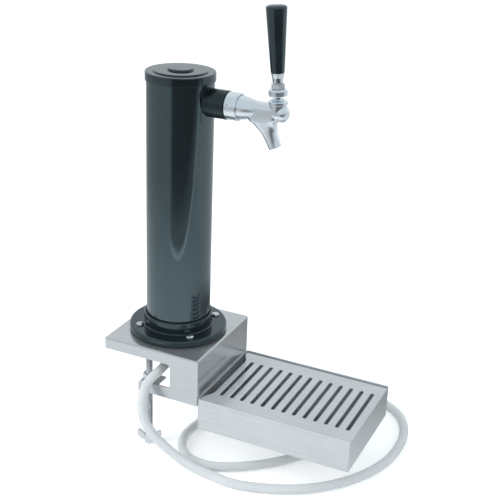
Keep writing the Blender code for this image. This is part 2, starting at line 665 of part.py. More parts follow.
def make_shank(black, chrome, rubber, brass):
    """Sleeve, shank, saddle washer and nuts that clamp the faucet to the column's wall."""
    axis = add_object("shank_axis", None, location=(0, 0, FAUCET_AXIS_Z))
    bore = SHANK_RADIUS + GAP
    sleeve = tube("shank_sleeve", bore, SLEEVE_RADIUS, COLUMN_INNER / 2, SLEEVE_FRONT, ROUND_SIDES, "X")
    sleeve = add_object("shank_sleeve", sleeve, black, axis)
    reach = FAUCET_AXIS_Z - PAST * 2
    outside = rod("sleeve_saddle", COLUMN_RADIUS + GAP, reach, FAUCET_AXIS_Z + PAST * 2, ROUND_SIDES * 2)
    cut(sleeve, "sleeve_saddle", outside)
    saddle = tube("saddle_washer", bore, SADDLE_RADIUS, SADDLE_BACK, COLUMN_RADIUS, axis="X")
    saddle = add_object("saddle_washer", saddle, brass, axis)
    inside = rod("column_inside", COLUMN_INNER - GAP, reach, FAUCET_AXIS_Z + PAST * 2, ROUND_SIDES * 2)
    cut(saddle, "column_inside", inside, operation="INTERSECT")
    shank = [(SHANK_BORE, SHANK_INNER_END), (SHANK_RADIUS, SHANK_INNER_END), (SHANK_RADIUS, SHANK_HEAD_BACK)]
    shank += [(SHANK_HEAD_RADIUS, SHANK_HEAD_BACK), (SHANK_HEAD_RADIUS, SHANK_HEAD_FRONT)]
    shank += [(SHANK_BORE, SHANK_HEAD_FRONT)]
    add_object("beer_shank", turned("beer_shank", shank, axis="X"), brass, axis)
    lock_back = LOCK_NUT_FRONT - LOCK_NUT_LENGTH
    nut = hex_nut("lock_nut", LOCK_NUT_FLATS, lock_back, LOCK_NUT_FRONT, bore, axis="X")
    add_object("lock_nut", nut, brass, axis)
    coupling_front = COUPLING_BACK + COUPLING_LENGTH
    lip_front = COUPLING_BACK + COUPLING_LIP
    edge = COUPLING_RADIUS - COUPLING_EDGE
    coupling = [(bore, COUPLING_BACK), (edge, COUPLING_BACK)]
    coupling += [(COUPLING_RADIUS, COUPLING_BACK + COUPLING_EDGE)]
    coupling += [(COUPLING_RADIUS, coupling_front - COUPLING_EDGE), (edge, coupling_front)]
    coupling += [(COUPLING_CHAMBER, coupling_front), (COUPLING_CHAMBER, lip_front), (bore, lip_front)]
    coupling = add_object("coupling_nut", turned("coupling_nut", coupling, ROUND_SIDES, "X"), chrome, axis)
    for number in range(SPANNER_HOLE_COUNT):
        name = f"spanner_hole_{number + 1}"
        turn = SPANNER_HOLE_TURN + number * 2 * math.pi / SPANNER_HOLE_COUNT
        floor = COUPLING_RADIUS - SPANNER_HOLE_DEPTH
        hole = rod(name, SPANNER_HOLE_RADIUS, floor, COUPLING_RADIUS + PAST / 4)
        place = (COUPLING_BACK + SPANNER_HOLE_REACH, 0, FAUCET_AXIS_Z)
        cut(coupling, name, hole, location=place, rotation=(-math.pi / 2 - turn, 0, 0))
    gasket_back = SHANK_HEAD_FRONT + GAP
    gasket_front = gasket_back + FAUCET_GASKET_THICKNESS
    gasket = tube("faucet_gasket", CHAMBER_RADIUS, SHANK_HEAD_RADIUS, gasket_back, gasket_front, axis="X")
    add_object("faucet_gasket", gasket, rubber, axis)


def make_tail(chrome, rubber, steel):
    """Elbow on the shank's inner end, with its washer, union nut and hose band."""
    axis = add_object("tail_axis", None, location=(0, 0, FAUCET_AXIS_Z))
    washer_back = TAIL_WASHER_FRONT - TAIL_WASHER_THICKNESS
    washer = tube("tail_washer", SHANK_BORE, ELBOW_FLANGE_RADIUS, washer_back, TAIL_WASHER_FRONT, axis="X")
    add_object("tail_washer", washer, rubber, axis)
    nut_lip = ELBOW_FACE - ELBOW_FLANGE_THICKNESS - GAP
    nut = hex_nut("tail_nut", TAIL_NUT_FLATS, nut_lip - TAIL_NUT_LIP, SHANK_INNER_END + TAIL_NUT_GRIP,
                  SHANK_RADIUS + GAP, ELBOW_TUBE_RADIUS + GAP, TAIL_NUT_LIP, "X")
    add_object("tail_nut", nut, chrome, axis)
    flange_back = ELBOW_FACE - ELBOW_FLANGE_THICKNESS
    bend_start = flange_back - ELBOW_STRAIGHT
    path = [(flange_back, 0.0, 0.0)]
    for turn in np.linspace(0, math.pi / 2, 6):
        path.append((bend_start - ELBOW_BEND * math.sin(turn), ELBOW_BEND * (math.cos(turn) - 1), turn))
    path.append((ELBOW_X, -ELBOW_BEND - ELBOW_DROP, math.pi / 2))

    def section(x, z, turn, radius):
        points = ring_points(radius, 0.0, sides=TINY_SIDES)
        return [(x - math.sin(turn) * p.x, p.y, z + math.cos(turn) * p.x) for p in points]

    loops = [section(ELBOW_FACE, 0.0, 0.0, ELBOW_BORE), section(ELBOW_FACE, 0.0, 0.0, ELBOW_FLANGE_RADIUS)]
    loops.append(section(flange_back, 0.0, 0.0, ELBOW_FLANGE_RADIUS))
    loops += [section(*place, ELBOW_TUBE_RADIUS) for place in path]
    loops += [section(*place, ELBOW_BORE) for place in reversed(path)]
    elbow = loft("elbow_tailpiece", loops, closed=True)
    add_object("elbow_tailpiece", elbow, chrome, axis)
    end = add_object("hose_top", None, location=(ELBOW_X, 0, ELBOW_BOTTOM), rotation=(math.pi, 0, 0))
    make_band("hose_clamp_upper", end, BAND_BACK, steel)


def make_band(name, parent, start, steel):
    """A stepless hose band with its pinched ear, along the parent's Z from start."""
    inner = HOSE_RADIUS + GAP
    outer = inner + BAND_THICKNESS
    band = add_object(name, tube(name, inner, outer, start, start + BAND_LENGTH), steel, parent)
    root = inner + BAND_THICKNESS / 2
    half = BAND_EAR_WIDTH / 2
    crest = outer + BAND_EAR_HEIGHT
    ear = [(root, -half, 0), (crest, -half), (crest, half), (root, half, 0)]
    ear = prism(f"{name}_ear", rounded(ear, BAND_THICKNESS, 2), start + GAP, start + BAND_LENGTH - GAP)
    cut(band, f"{name}_ear", ear, parent, operation="UNION")


def spout_loops():
    """The spout's loops: flattened under the body, drawn in to a round tip."""
    loops = []
    for forward, height, tilt, half_length, half_width in SPOUT_SECTIONS:
        lean = math.radians(tilt)
        loop = []
        for angle in np.arange(BODY_SIDES) * 2 * math.pi / BODY_SIDES:
            along = half_length * math.cos(angle)
            across = half_width * math.sin(angle)
            loop.append((forward + along * math.cos(lean), across, height + along * math.sin(lean)))
        loops.append(loop)
    return loops


def body_profile():
    """The body's turned outline: threaded collar, ogee neck, slim waist and rounded nose."""
    profile = [(0, 0), (SHANK_HEAD_RADIUS, 0), (SHANK_HEAD_RADIUS, COLLAR_LENGTH)]
    for step in np.linspace(0, 1, 6)[1:]:
        radius = WAIST_RADIUS + (SHANK_HEAD_RADIUS - WAIST_RADIUS) * (1 + math.cos(math.pi * step)) / 2
        profile.append((radius, COLLAR_LENGTH + (NECK_END - COLLAR_LENGTH) * step))
    for angle in np.radians(np.linspace(0, 90, 6)):
        profile.append((NOSE_RADIUS * math.cos(angle), NOSE_START + NOSE_LENGTH * math.sin(angle)))
    profile[-1] = (0, NOSE_START + NOSE_LENGTH)
    return profile


def make_faucet(chrome):
    """Faucet body: a turned barrel, a lofted spout and the lever's socket, bored through."""
    frame = add_object("faucet_frame", None, location=(FAUCET_BACK, 0, FAUCET_AXIS_Z))
    body = add_object("faucet_body", turned("faucet_body", body_profile(), BODY_SIDES, "X"), chrome, frame)
    cut(body, "spout", loft("spout", spout_loops()), frame, operation="UNION", solver="MANIFOLD")
    shoulder = PIVOT_HEIGHT - SOCKET_SHOULDER_DROP
    ring_top = PIVOT_HEIGHT - SOCKET_RING_DROP
    socket_bore = BALL_RADIUS + BALL_FIT + GAP
    outer = socket_bore + SOCKET_WALL
    ring = socket_bore + SOCKET_RING_WALL
    socket = [(0, -SOCKET_ROOT), (socket_bore, -SOCKET_ROOT), (outer, SOCKET_ROOT), (outer, shoulder)]
    socket += [(ring, shoulder), (ring, ring_top), (0, ring_top)]
    place = (LEVER_REACH, 0, 0)
    socket = turned("lever_socket", socket, BODY_SIDES)
    cut(body, "lever_socket", socket, frame, place, operation="UNION", solver="MANIFOLD")
    seat_end = CHAMBER_LENGTH + SEAT_LENGTH
    bore = [(0, -PAST), (CHAMBER_RADIUS, -PAST), (CHAMBER_RADIUS, CHAMBER_LENGTH)]
    bore += [(SEAT_RADIUS, CHAMBER_LENGTH), (SEAT_RADIUS, seat_end), (BODY_BORE, seat_end)]
    bore += [(BODY_BORE, BODY_BORE_END), (0, BODY_BORE_END)]
    cut(body, "body_bore", turned("body_bore", bore, BODY_SIDES, "X"), frame, solver="MANIFOLD")
    floor = PIVOT_HEIGHT - SOCKET_FLOOR_DROP
    hollow = [(0, GAP), (FLOOR_HOLE_RADIUS, GAP), (FLOOR_HOLE_RADIUS, floor), (socket_bore, floor)]
    hollow += [(socket_bore, ring_top + PAST), (0, ring_top + PAST)]
    cut(body, "ball_hollow", turned("ball_hollow", hollow, BODY_SIDES), frame, place, solver="MANIFOLD")
    slot_low = (LEVER_REACH - FLOOR_SLOT_BACK, -FLOOR_SLOT_HALF, 2 * GAP)
    slot = box("tail_slot", slot_low, (LEVER_REACH, FLOOR_SLOT_HALF, floor + 2 * GAP))
    cut(body, "tail_slot", slot, frame, solver="MANIFOLD")
    tip = SPOUT_SECTIONS[-1]
    outlet = rod("outlet", SPOUT_BORE, -PAST / 4, SPOUT_BORE_LENGTH - PAST / 4)
    cut(body, "outlet", outlet, frame, (tip[0], 0, tip[1]), (0, -SPOUT_TILT, 0), solver="MANIFOLD")
    return frame


def make_valve(frame, steel, rubber):
    """Shaft, seat washer and nut, which the lever's tail slides along the barrel."""
    washer_front = CHAMBER_LENGTH - GAP
    washer_back = washer_front - SEAT_WASHER_THICKNESS
    nut_front = washer_back - GAP
    nut_back = nut_front - SHAFT_NUT_LENGTH
    shoulder_back = washer_front + GAP
    block_radius = BODY_BORE - GAP
    block_front = LEVER_REACH + SHAFT_BLOCK_FRONT
    block_back = block_front - SHAFT_BLOCK_LENGTH
    half_guide = block_radius * math.cos(math.pi / 6)
    guide_end = SHAFT_GUIDE_START + SHAFT_GUIDE_LENGTH
    shaft_back = nut_back - SHAFT_PAST_NUT
    shoulder_front = shoulder_back + SHAFT_SHOULDER_LENGTH
    shaft = [(0, shaft_back), (SHAFT_RADIUS, shaft_back), (SHAFT_RADIUS, shoulder_back)]
    shaft += [(SHAFT_SHOULDER_RADIUS, shoulder_back), (SHAFT_SHOULDER_RADIUS, shoulder_front)]
    shaft += [(SHAFT_RADIUS, shoulder_front), (SHAFT_RADIUS, block_back), (block_radius, block_back)]
    shaft += [(block_radius, block_front), (0, block_front)]
    shaft = add_object("faucet_shaft", turned("faucet_shaft", shaft, axis="X"), steel, frame)
    hexagon = [ring_points(half_guide, height, True) for height in (SHAFT_GUIDE_START, guide_end)]
    cut(shaft, "shaft_guide", loft("shaft_guide", hexagon, axis="X"), frame, operation="UNION")
    half = TAIL_BALL_RADIUS + GAP
    rest = -TAIL_LENGTH * math.sin(LEVER_LEAN)
    end = PIVOT_HEIGHT - TAIL_LENGTH * math.cos(LEVER_LEAN)
    top = block_radius + GAP
    slot = [(-half, end - half), (half, end - half), (half, end)]
    slot += [(half + SHAFT_SLOT_FLARE, top), (-half - GAP, top)]
    slot = [(LEVER_REACH + rest + u, v) for u, v in slot]
    cut(shaft, "lever_slot", prism("lever_slot", slot, -half, half, "XZ"), frame)
    bore = SHAFT_RADIUS + GAP
    washer = tube("seat_washer", bore, SEAT_WASHER_RADIUS, washer_back, washer_front, axis="X")
    add_object("seat_washer", washer, rubber, frame)
    nut = hex_nut("shaft_nut", SHAFT_NUT_FLATS, nut_back, nut_front, bore, axis="X", sides=TINY_SIDES)
    add_object("shaft_nut", nut, steel, frame)


def make_socket_fittings(frame, chrome, rubber):
    """Friction cup, ball washer and bonnet that hold the lever's ball in the socket."""
    axis = add_object("socket_axis", None, parent=frame, location=(LEVER_REACH, 0, PIVOT_HEIGHT))
    fit = BALL_RADIUS + BALL_FIT
    cup_low = GAP - SOCKET_FLOOR_DROP
    cup_high = cup_low + CUP_HEIGHT
    waist = math.sqrt(fit ** 2 - cup_low ** 2) + GAP
    cup = [(waist, cup_low), (fit + GAP / 2, cup_low), (fit + GAP / 2, cup_high), (fit, cup_high)]
    add_object("friction_washer", turned("friction_washer", cup), rubber, axis)
    socket_bore = fit + GAP
    washer_low = GAP - SOCKET_RING_DROP
    washer_high = washer_low + BALL_WASHER_THICKNESS
    ring = socket_bore + SOCKET_RING_WALL
    washer = tube("ball_washer", fit, ring, washer_low, washer_high)
    add_object("ball_washer", washer, rubber, axis)
    under = washer_high + GAP
    top = under + BONNET_CROWN
    mouth = math.sqrt(fit ** 2 - under ** 2) + GAP
    skirt = GAP - SOCKET_SHOULDER_DROP
    inner = ring + GAP
    outer = inner + BONNET_WALL
    bonnet = [(outer, skirt), (outer, top - BONNET_CHAMFER), (BONNET_CROWN_RADIUS, top), (mouth + GAP, top)]
    bonnet += [(mouth, under), (inner, under), (inner, skirt)]
    add_object("lever_bonnet", turned("lever_bonnet", bonnet, BODY_SIDES), chrome, axis)


def make_lever(frame, chrome, black):
    """Lever with its ball and tail, and the collar, nut, ferrule and handle on its stem."""
    place = (LEVER_REACH, 0, PIVOT_HEIGHT)
    pivot = add_object("lever_pivot", None, parent=frame, location=place, rotation=(0, LEVER_LEAN, 0))
    meet = math.degrees(math.asin(STEM_RADIUS / BALL_RADIUS))
    tail_meet = math.degrees(math.asin(TAIL_RADIUS / BALL_RADIUS))
    tip_meet = math.degrees(math.acos(TAIL_RADIUS / TAIL_BALL_RADIUS))
    lever = [(0, STEM_LENGTH), (STEM_RADIUS, STEM_LENGTH)]
    lever += arc(0, 0, BALL_RADIUS, 90 - meet, tail_meet - 90, 8)
    lever += arc(0, -TAIL_LENGTH, TAIL_BALL_RADIUS, tip_meet, -90, 4)
    lever[-1] = (0, -TAIL_LENGTH - TAIL_BALL_RADIUS)
    add_object("tap_lever", turned("tap_lever", lever), chrome, pivot)
    bore = STEM_RADIUS + GAP
    low = LEVER_COLLAR_BASE
    high = low + LEVER_COLLAR_LENGTH
    outer = LEVER_COLLAR_RADIUS
    collar = [(bore, low), (outer - EDGE_ROUND, low), (outer, low + EDGE_ROUND)]
    collar += [(outer, high - 2 * EDGE_ROUND), (outer - 2 * EDGE_ROUND, high), (bore, high)]
    add_object("lever_collar", turned("lever_collar", collar, BODY_SIDES), chrome, pivot)
    low = high + GAP
    high = low + JAM_NUT_LENGTH
    add_object("lever_jam_nut", hex_nut("lever_jam_nut", 2 * JAM_NUT_RADIUS, low, high, bore), chrome, pivot)
    low = high + GAP
    high = low + FERRULE_LENGTH
    ferrule = [(bore, low), (FERRULE_FOOT_RADIUS, low), (HANDLE_FOOT_RADIUS, high), (bore, high)]
    add_object("handle_ferrule", turned("handle_ferrule", ferrule), chrome, pivot)
    low = high + GAP
    high = low + HANDLE_LENGTH
    socket = STEM_LENGTH + GAP
    handle = [(bore, socket), (bore, low), (HANDLE_FOOT_RADIUS, low)]
    for angle in np.radians(np.linspace(0, 90, 7)):
        handle.append((HANDLE_TOP_RADIUS * math.cos(angle), high + HANDLE_DOME * math.sin(angle)))
    handle[-1] = (0, high + HANDLE_DOME)
    handle = [(0, socket)] + handle
    add_object("tap_handle", turned("tap_handle", handle, BODY_SIDES), black, pivot)


def make_tray(steel):
    """Open drip tray against the bracket's front wall, with a lift-out grille."""
    middle = (TRAY_BACK + TRAY_FRONT) / 2
    inner_length = TRAY_LENGTH / 2 - TRAY_SHEET
    inner_width = HALF_WIDTH - TRAY_SHEET
    outer = rounded(rectangle(TRAY_LENGTH / 2, HALF_WIDTH), TRAY_CORNER)
    inner = rounded(rectangle(inner_length, inner_width), TRAY_CORNER - TRAY_SHEET)
    heights = [(outer, TRAY_BOTTOM), (outer, -TRAY_RIM_DROP)]
    heights += [(inner, -TRAY_RIM_DROP), (inner, TRAY_BOTTOM + TRAY_SHEET)]
    loops = [[(x, y, z) for x, y in outline] for outline, z in heights]
    add_object("drip_tray", loft("drip_tray", loops), steel, location=(middle, 0, 0))
    half_length = inner_length - GRILLE_CLEARANCE
    half_width = inner_width - GRILLE_CLEARANCE
    foot = TRAY_BOTTOM + TRAY_SHEET + GAP
    inside = half_width - TRAY_SHEET
    under = GRILLE_TOP - TRAY_SHEET
    folded = [(-half_width, foot), (-half_width, GRILLE_TOP), (half_width, GRILLE_TOP), (half_width, foot)]
    folded += [(inside, foot), (inside, under), (-inside, under), (-inside, foot)]
    grille = prism("drip_grille", folded, -half_length, half_length, "YZ")
    grille = add_object("drip_grille", grille, steel, location=(middle, 0, 0))
    low = under - PAST / 4
    high = GRILLE_TOP + PAST / 4
    slot = rounded(rectangle(SLOT_WIDTH / 2, SLOT_LENGTH / 2), SLOT_WIDTH / 2 - GAP / 10, 2)
    for number in range(SLOT_COUNT):
        name = f"grille_slot_{number + 1}"
        place = (TRAY_BACK + FIRST_SLOT + number * SLOT_PITCH, 0, 0)
        cut(grille, name, prism(name, slot, low, high), location=place)
    reach = RECESS_HALF + RECESS_RAMP
    recess = [(-PAST, -reach), (0, -reach)]
    for step in np.linspace(0, 1, 7)[1:]:
        recess.append((RECESS_DEPTH * (1 - math.cos(math.pi * step)) / 2, RECESS_RAMP * step - reach))
    recess += [(x, -y) for x, y in reversed(recess)]
    back = middle - half_length
    cut(grille, "finger_recess", prism("finger_recess", recess, low, high), location=(back, 0, 0))


def hose_points():
    """Evenly spaced points on a natural cubic spline through the hose's route."""
    route = np.array(HOSE_ROUTE)
    count = len(route)
    runs = np.linalg.norm(np.diff(route, axis=0), axis=1)
    knots = np.concatenate([[0.0], np.cumsum(runs)])
    system = np.eye(count)
    right = np.zeros((count, 3))
    for i in range(1, count - 1):
        system[i, i - 1:i + 2] = (runs[i - 1], 2 * (runs[i - 1] + runs[i]), runs[i])
        right[i] = 6 * ((route[i + 1] - route[i]) / runs[i] - (route[i] - route[i - 1]) / runs[i - 1])
    bends = np.linalg.solve(system, right)
    places = np.linspace(0, knots[-1], round(knots[-1] / HOSE_POINT_STEP) + 1)
    span = np.clip(np.searchsorted(knots, places, side="right") - 1, 0, count - 2)
    run = runs[span][:, None]
    after = places[:, None] - knots[span][:, None]
    before = run - after
    points = (bends[span] * before ** 3 + bends[span + 1] * after ** 3) / (6 * run)
    points += (route[span] / run - bends[span] * run / 6) * before
    points += (route[span + 1] / run - bends[span + 1] * run / 6) * after
    return points


def make_hose(clear, steel, rubber):
    """The hose as one tube, with the band and the union fitting on its far end."""
    points = hose_points()
    curve = bpy.data.curves.new("beer_hose", "CURVE")
    curve.dimensions = "3D"
    curve.bevel_depth = HOSE_RADIUS
    curve.bevel_resolution = 2
    curve.use_fill_caps = True
    spline = curve.splines.new("POLY")
    spline.points.add(len(points) - 1)
    for target, point in zip(spline.points, points):
        target.co = (*point, 1.0)
    add_object("beer_hose", curve, clear)
    ahead = Vector(points[-1] - points[-2]).normalized()
    turn = ahead.to_track_quat("Z", "X").to_euler()
    end = add_object("hose_end", None, location=points[-1], rotation=turn)
    make_band("hose_clamp_lower", end, -BAND_BACK - BAND_LENGTH, steel)
    flange_back = GAP + KEG_TAIL_LENGTH
    face = flange_back + KEG_FLANGE_THICKNESS
    tail = [(KEG_BORE, GAP), (KEG_TAIL_RADIUS, GAP), (KEG_TAIL_RADIUS, flange_back)]
    tail += [(KEG_FLANGE_RADIUS, flange_back), (KEG_FLANGE_RADIUS, face), (KEG_BORE, face)]
    add_object("keg_tailpiece", turned("keg_tailpiece", tail, TINY_SIDES), steel, end)
    nut_low = flange_back - GAP - KEG_NUT_LIP
    nut = hex_nut("keg_nut", KEG_NUT_FLATS, nut_low, face + KEG_NUT_GRIP, KEG_FLANGE_RADIUS + GAP,
                  KEG_TAIL_RADIUS + GAP, KEG_NUT_LIP, sides=TINY_SIDES)
    add_object("keg_nut", nut, steel, end)
    washer_low = face + GAP
    washer_high = washer_low + KEG_WASHER_THICKNESS
    washer = tube("keg_washer", KEG_BORE, KEG_FLANGE_RADIUS, washer_low, washer_high, TINY_SIDES)
    add_object("keg_washer", washer, rubber, end)


def main():
    clear_scene()
    black = make_material("gloss black coating", (0.012, 0.014, 0.016), 0.12)
    handle_black = make_material("black handle", (0.010, 0.011, 0.012), 0.2)
    steel = make_material("brushed stainless steel", (0.56, 0.57, 0.58), 0.32, metallic=1.0)
    chrome = make_material("chrome plate", (0.74, 0.77, 0.80), 0.08, metallic=1.0)
    brass = make_material("plated brass", (0.62, 0.60, 0.56), 0.25, metallic=1.0)
    rubber = make_material("black rubber", (0.02, 0.02, 0.02), 0.7)
    clear = make_material("clear beer hose", (0.84, 0.86, 0.86), 0.3, alpha=0.75)
    make_bracket(steel)
    make_clamp("front", -1, steel, rubber)
    make_clamp("rear", 1, steel, rubber)
    make_flange(black, rubber, steel)
    make_column(black)
    make_shank(black, chrome, rubber, brass)
    make_tail(chrome, rubber, steel)
    frame = make_faucet(chrome)
    make_valve(frame, steel, rubber)
    make_socket_fittings(frame, chrome, rubber)
    make_lever(frame, chrome, handle_black)
    make_tray(steel)
    make_hose(clear, steel, rubber)


if __name__ == "__main__":
    main()
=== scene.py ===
"""Looks for the clamp-on beer tap tower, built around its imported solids.

The part frame is in metres. +Z is up, +X is the way the faucet and the drip tray face, and the
origin is on the column's axis in the plane of the table top.
"""

from __future__ import annotations

import enum
import json
import logging
import math
from dataclasses import dataclass, field

import bmesh
import bpy
import numpy as np
from mathutils import Matrix, Vector

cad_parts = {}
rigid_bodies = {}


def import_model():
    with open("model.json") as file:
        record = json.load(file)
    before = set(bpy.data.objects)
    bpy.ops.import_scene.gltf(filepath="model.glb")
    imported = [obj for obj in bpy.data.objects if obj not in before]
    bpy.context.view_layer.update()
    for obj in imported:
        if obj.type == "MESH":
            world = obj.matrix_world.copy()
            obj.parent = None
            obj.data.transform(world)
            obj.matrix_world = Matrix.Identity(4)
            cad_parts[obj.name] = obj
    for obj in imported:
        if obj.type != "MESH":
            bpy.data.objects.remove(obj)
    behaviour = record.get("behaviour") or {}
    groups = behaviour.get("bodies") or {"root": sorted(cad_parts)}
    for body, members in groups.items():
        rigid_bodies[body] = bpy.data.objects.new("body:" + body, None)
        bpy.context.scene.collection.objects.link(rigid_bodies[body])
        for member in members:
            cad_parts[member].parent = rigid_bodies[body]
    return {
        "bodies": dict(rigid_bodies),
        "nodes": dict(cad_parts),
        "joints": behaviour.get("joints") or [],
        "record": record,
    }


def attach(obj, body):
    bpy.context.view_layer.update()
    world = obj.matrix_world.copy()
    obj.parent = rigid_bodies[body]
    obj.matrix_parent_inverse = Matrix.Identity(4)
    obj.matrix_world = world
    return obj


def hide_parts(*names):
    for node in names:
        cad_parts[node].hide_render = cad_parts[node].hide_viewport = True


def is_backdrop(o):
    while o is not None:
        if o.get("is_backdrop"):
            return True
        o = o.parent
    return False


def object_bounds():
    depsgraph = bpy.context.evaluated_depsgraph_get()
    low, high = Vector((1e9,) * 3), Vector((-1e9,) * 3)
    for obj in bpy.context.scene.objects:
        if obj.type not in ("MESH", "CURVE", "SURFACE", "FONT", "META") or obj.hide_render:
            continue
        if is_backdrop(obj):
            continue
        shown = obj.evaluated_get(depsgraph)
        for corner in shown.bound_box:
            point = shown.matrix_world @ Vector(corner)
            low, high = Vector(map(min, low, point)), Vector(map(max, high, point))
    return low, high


LOG = logging.getLogger("tap_tower")
Array = np.ndarray
Triple = tuple[float, float, float]
Span = tuple[float, float]
Colour = Triple
Piece = bpy.types.Object
Socket = bpy.types.NodeSocket
WHITE = (1.0, 1.0, 1.0)
# Points closer than this are made one
MERGE_DISTANCE = 2e-7
# Room left between pieces that touch
GAP = 0.0003
# How many sides a full turn has on large pieces, small pieces and bores
ROUND_SIDES = 128
SMALL_SIDES = 64
BORE_SIDES = 48
# The angle in degrees past which an edge shades sharp
CREASE = 35.0


class Body(enum.Enum):
    """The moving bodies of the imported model."""

    TOWER = "tower"
    LEVER = "lever"
    CAP = "cap"
    GRILLE = "grille"
    FRONT_PAD = "front_pad"
    FRONT_SCREW = "front_screw"
    REAR_PAD = "rear_pad"
    REAR_SCREW = "rear_screw"


class Slot(enum.Enum):
    """The record's material slots."""

    TRAY = "tray_steel"
    HARDWARE = "hardware_steel"
    COAT = "black_coat"
    CHROME = "chrome_plate"
    RUBBER = "black_rubber"
    HANDLE = "handle_black"
    HOSE = "clear_hose"


@dataclass(frozen=True)
class Place:
    """A local frame: its origin, and the directions of its axes in the part frame."""

    origin: Triple = (0.0, 0.0, 0.0)
    axes: tuple[Triple, ...] = ((1, 0, 0), (0, 1, 0), (0, 0, 1))

    def put(self, points: Array) -> Array:
        """Moves local points to the part frame.

        Args:
            points: Points whose last axis holds local x, y and z.

        Returns:
            The same points in the part frame.
        """
        return points @ np.array(self.axes, float) + np.array(self.origin)


def along_x(height: float, forward: float = 0.0) -> Place:
    """A frame whose z axis points forward along X, at a height on the middle plane."""
    return Place((forward, 0.0, height), ((0, 0, -1), (0, 1, 0), (1, 0, 0)))


@dataclass
class Surface:
    """A piece of mesh: points, and quads that join them."""

    points: Array
    quads: Array

    @classmethod
    def woven(cls, grid: Array, closed_rows: bool = False, closed_columns: bool = True) -> Surface:
        """Joins the points of a grid into quads.

        Args:
            grid: Points by row and column.
            closed_rows: Whether the last row is joined to the first.
            closed_columns: Whether the last column is joined to the first.

        Returns:
            The surface.
        """
        rows, columns = grid.shape[:2]
        index = np.arange(rows * columns).reshape(rows, columns)
        if closed_rows:
            index = np.vstack([index, index[:1]])
        if closed_columns:
            index = np.hstack([index, index[:, :1]])
        corners = (index[:-1, :-1], index[:-1, 1:], index[1:, 1:], index[1:, :-1])
        return cls(grid.reshape(-1, 3), np.stack(corners, axis=-1).reshape(-1, 4))

    def at(self, place: Place) -> Surface:
        """The surface moved from local coordinates to the part frame."""
        return Surface(place.put(self.points), self.quads)


def full_turn(sides: int) -> Array:
    """Evenly spaced angles round a full turn."""
    return np.arange(sides) * 2 * math.pi / sides


def round_points(radius: Array | float, angles: Array, height: Array | float) -> Array:
    """Points about local z: the radius times each angle's cosine and sine, and the height."""
    return np.stack([radius * np.cos(angles), radius * np.sin(angles), height + 0 * angles], axis=-1)


def at_height(outline: Array, height: float) -> Array:
    """A flat outline's points, all at one height."""
    return np.column_stack([outline, np.full(len(outline), height)])


def rounded_path(corners: list[Triple], closed: bool, steps: int = 6) -> Array:
    """Rounds the corners of a path in a plane.

    Each corner (u, v, fillet) becomes an arc that is tangent to both of its sides: the arc is swept
    from one radius to the other by spherical interpolation about the fillet's centre.

    Args:
        corners: The path's corners, each with its fillet radius, which may be zero.
        closed: Whether the path closes on itself; the ends of an open path stay sharp.
        steps: How many pieces an arc has.

    Returns:
        The path's points, one per row.
    """
    table = np.array(corners, float)
    share = np.linspace(0, 1, steps + 1)[:, None]
    found = []
    for i, (u, v, fillet) in enumerate(table):
        here = np.array([u, v])
        if fillet <= 0 or (not closed and i in (0, len(table) - 1)):
            found.append(here[None, :])
            continue
        back = table[i - 1, :2] - here
        ahead = table[(i + 1) % len(table), :2] - here
        back = back / np.linalg.norm(back)
        ahead = ahead / np.linalg.norm(ahead)
        half = math.acos(np.clip(back @ ahead, -1, 1)) / 2
        centre = here + (back + ahead) / np.linalg.norm(back + ahead) * fillet / math.sin(half)
        start = here + back * fillet / math.tan(half) - centre
        end = here + ahead * fillet / math.tan(half) - centre
        sweep = math.pi - 2 * half
        arc = np.sin((1 - share) * sweep) * start + np.sin(share * sweep) * end
        found.append(centre + arc / math.sin(sweep))
    return np.vstack(found)


def turned(profile: Array, sides: int = SMALL_SIDES, closed: bool = True) -> Surface:
    """Carries a profile round local z.

    The point at row i and column j is (r cos a, r sin a, h), with (r, h) the profile's point i and
    a the j-th of evenly spaced angles.

    Args:
        profile: Radius and height, one point per row.
        sides: How many columns a full turn has.
        closed: Whether the profile closes on itself; otherwise its ends are on the axis.

    Returns:
        The turned surface.
    """
    grid = round_points(profile[:, :1], full_turn(sides), profile[:, 1:])
    return Surface.woven(grid, closed_rows=closed)


def slab(outline: Array, low: float, high: float, edge: float) -> Surface:
    """A flat shape with eased edges.

    The outline is drawn in towards its middle at both faces by the edge's width, and each face is
    closed at its middle point.

    Args:
        outline: The shape's outline, one point per row.
        low: Height of one face.
        high: Height of the other face.
        edge: Width of the eased edge.

    Returns:
        The slab about local z.
    """
    ahead = np.roll(outline, -1, axis=0) - np.roll(outline, 1, axis=0)
    normal = np.stack([-ahead[:, 1], ahead[:, 0]], axis=-1)
    normal /= np.maximum(np.linalg.norm(normal, axis=1), 1e-9)[:, None]
    area = np.cross(outline, np.roll(outline, -1, axis=0)).sum()
    inset = outline + math.copysign(edge, area) * normal
    middle = np.broadcast_to(outline.mean(axis=0), outline.shape)
    rows = [(middle, low), (inset, low), (outline, low + edge)]
    rows += [(outline, high - edge), (inset, high), (middle, high)]
    return Surface.woven(np.stack([at_height(flat, height) for flat, height in rows]))


def smooth_curve(knots: Array, values: Array, places: Array) -> Array:
    """Values on a smooth curve through knots, whose slopes are those of the chords about each knot.

    Args:
        knots: Where the values are given.
        values: The values.
        places: Where the curve is read.

    Returns:
        The curve's values, by cubic Hermite pieces.
    """
    slopes = np.gradient(values, knots)
    span = np.clip(np.searchsorted(knots, places, side="right") - 1, 0, len(knots) - 2)
    run = (knots[span + 1] - knots[span]).astype(float)
    t = (places - knots[span]) / run
    start = values[span] * (1 + 2 * t) * (1 - t) ** 2 + slopes[span] * run * t * (1 - t) ** 2
    return start + values[span + 1] * t ** 2 * (3 - 2 * t) + slopes[span + 1] * run * t ** 2 * (t - 1)


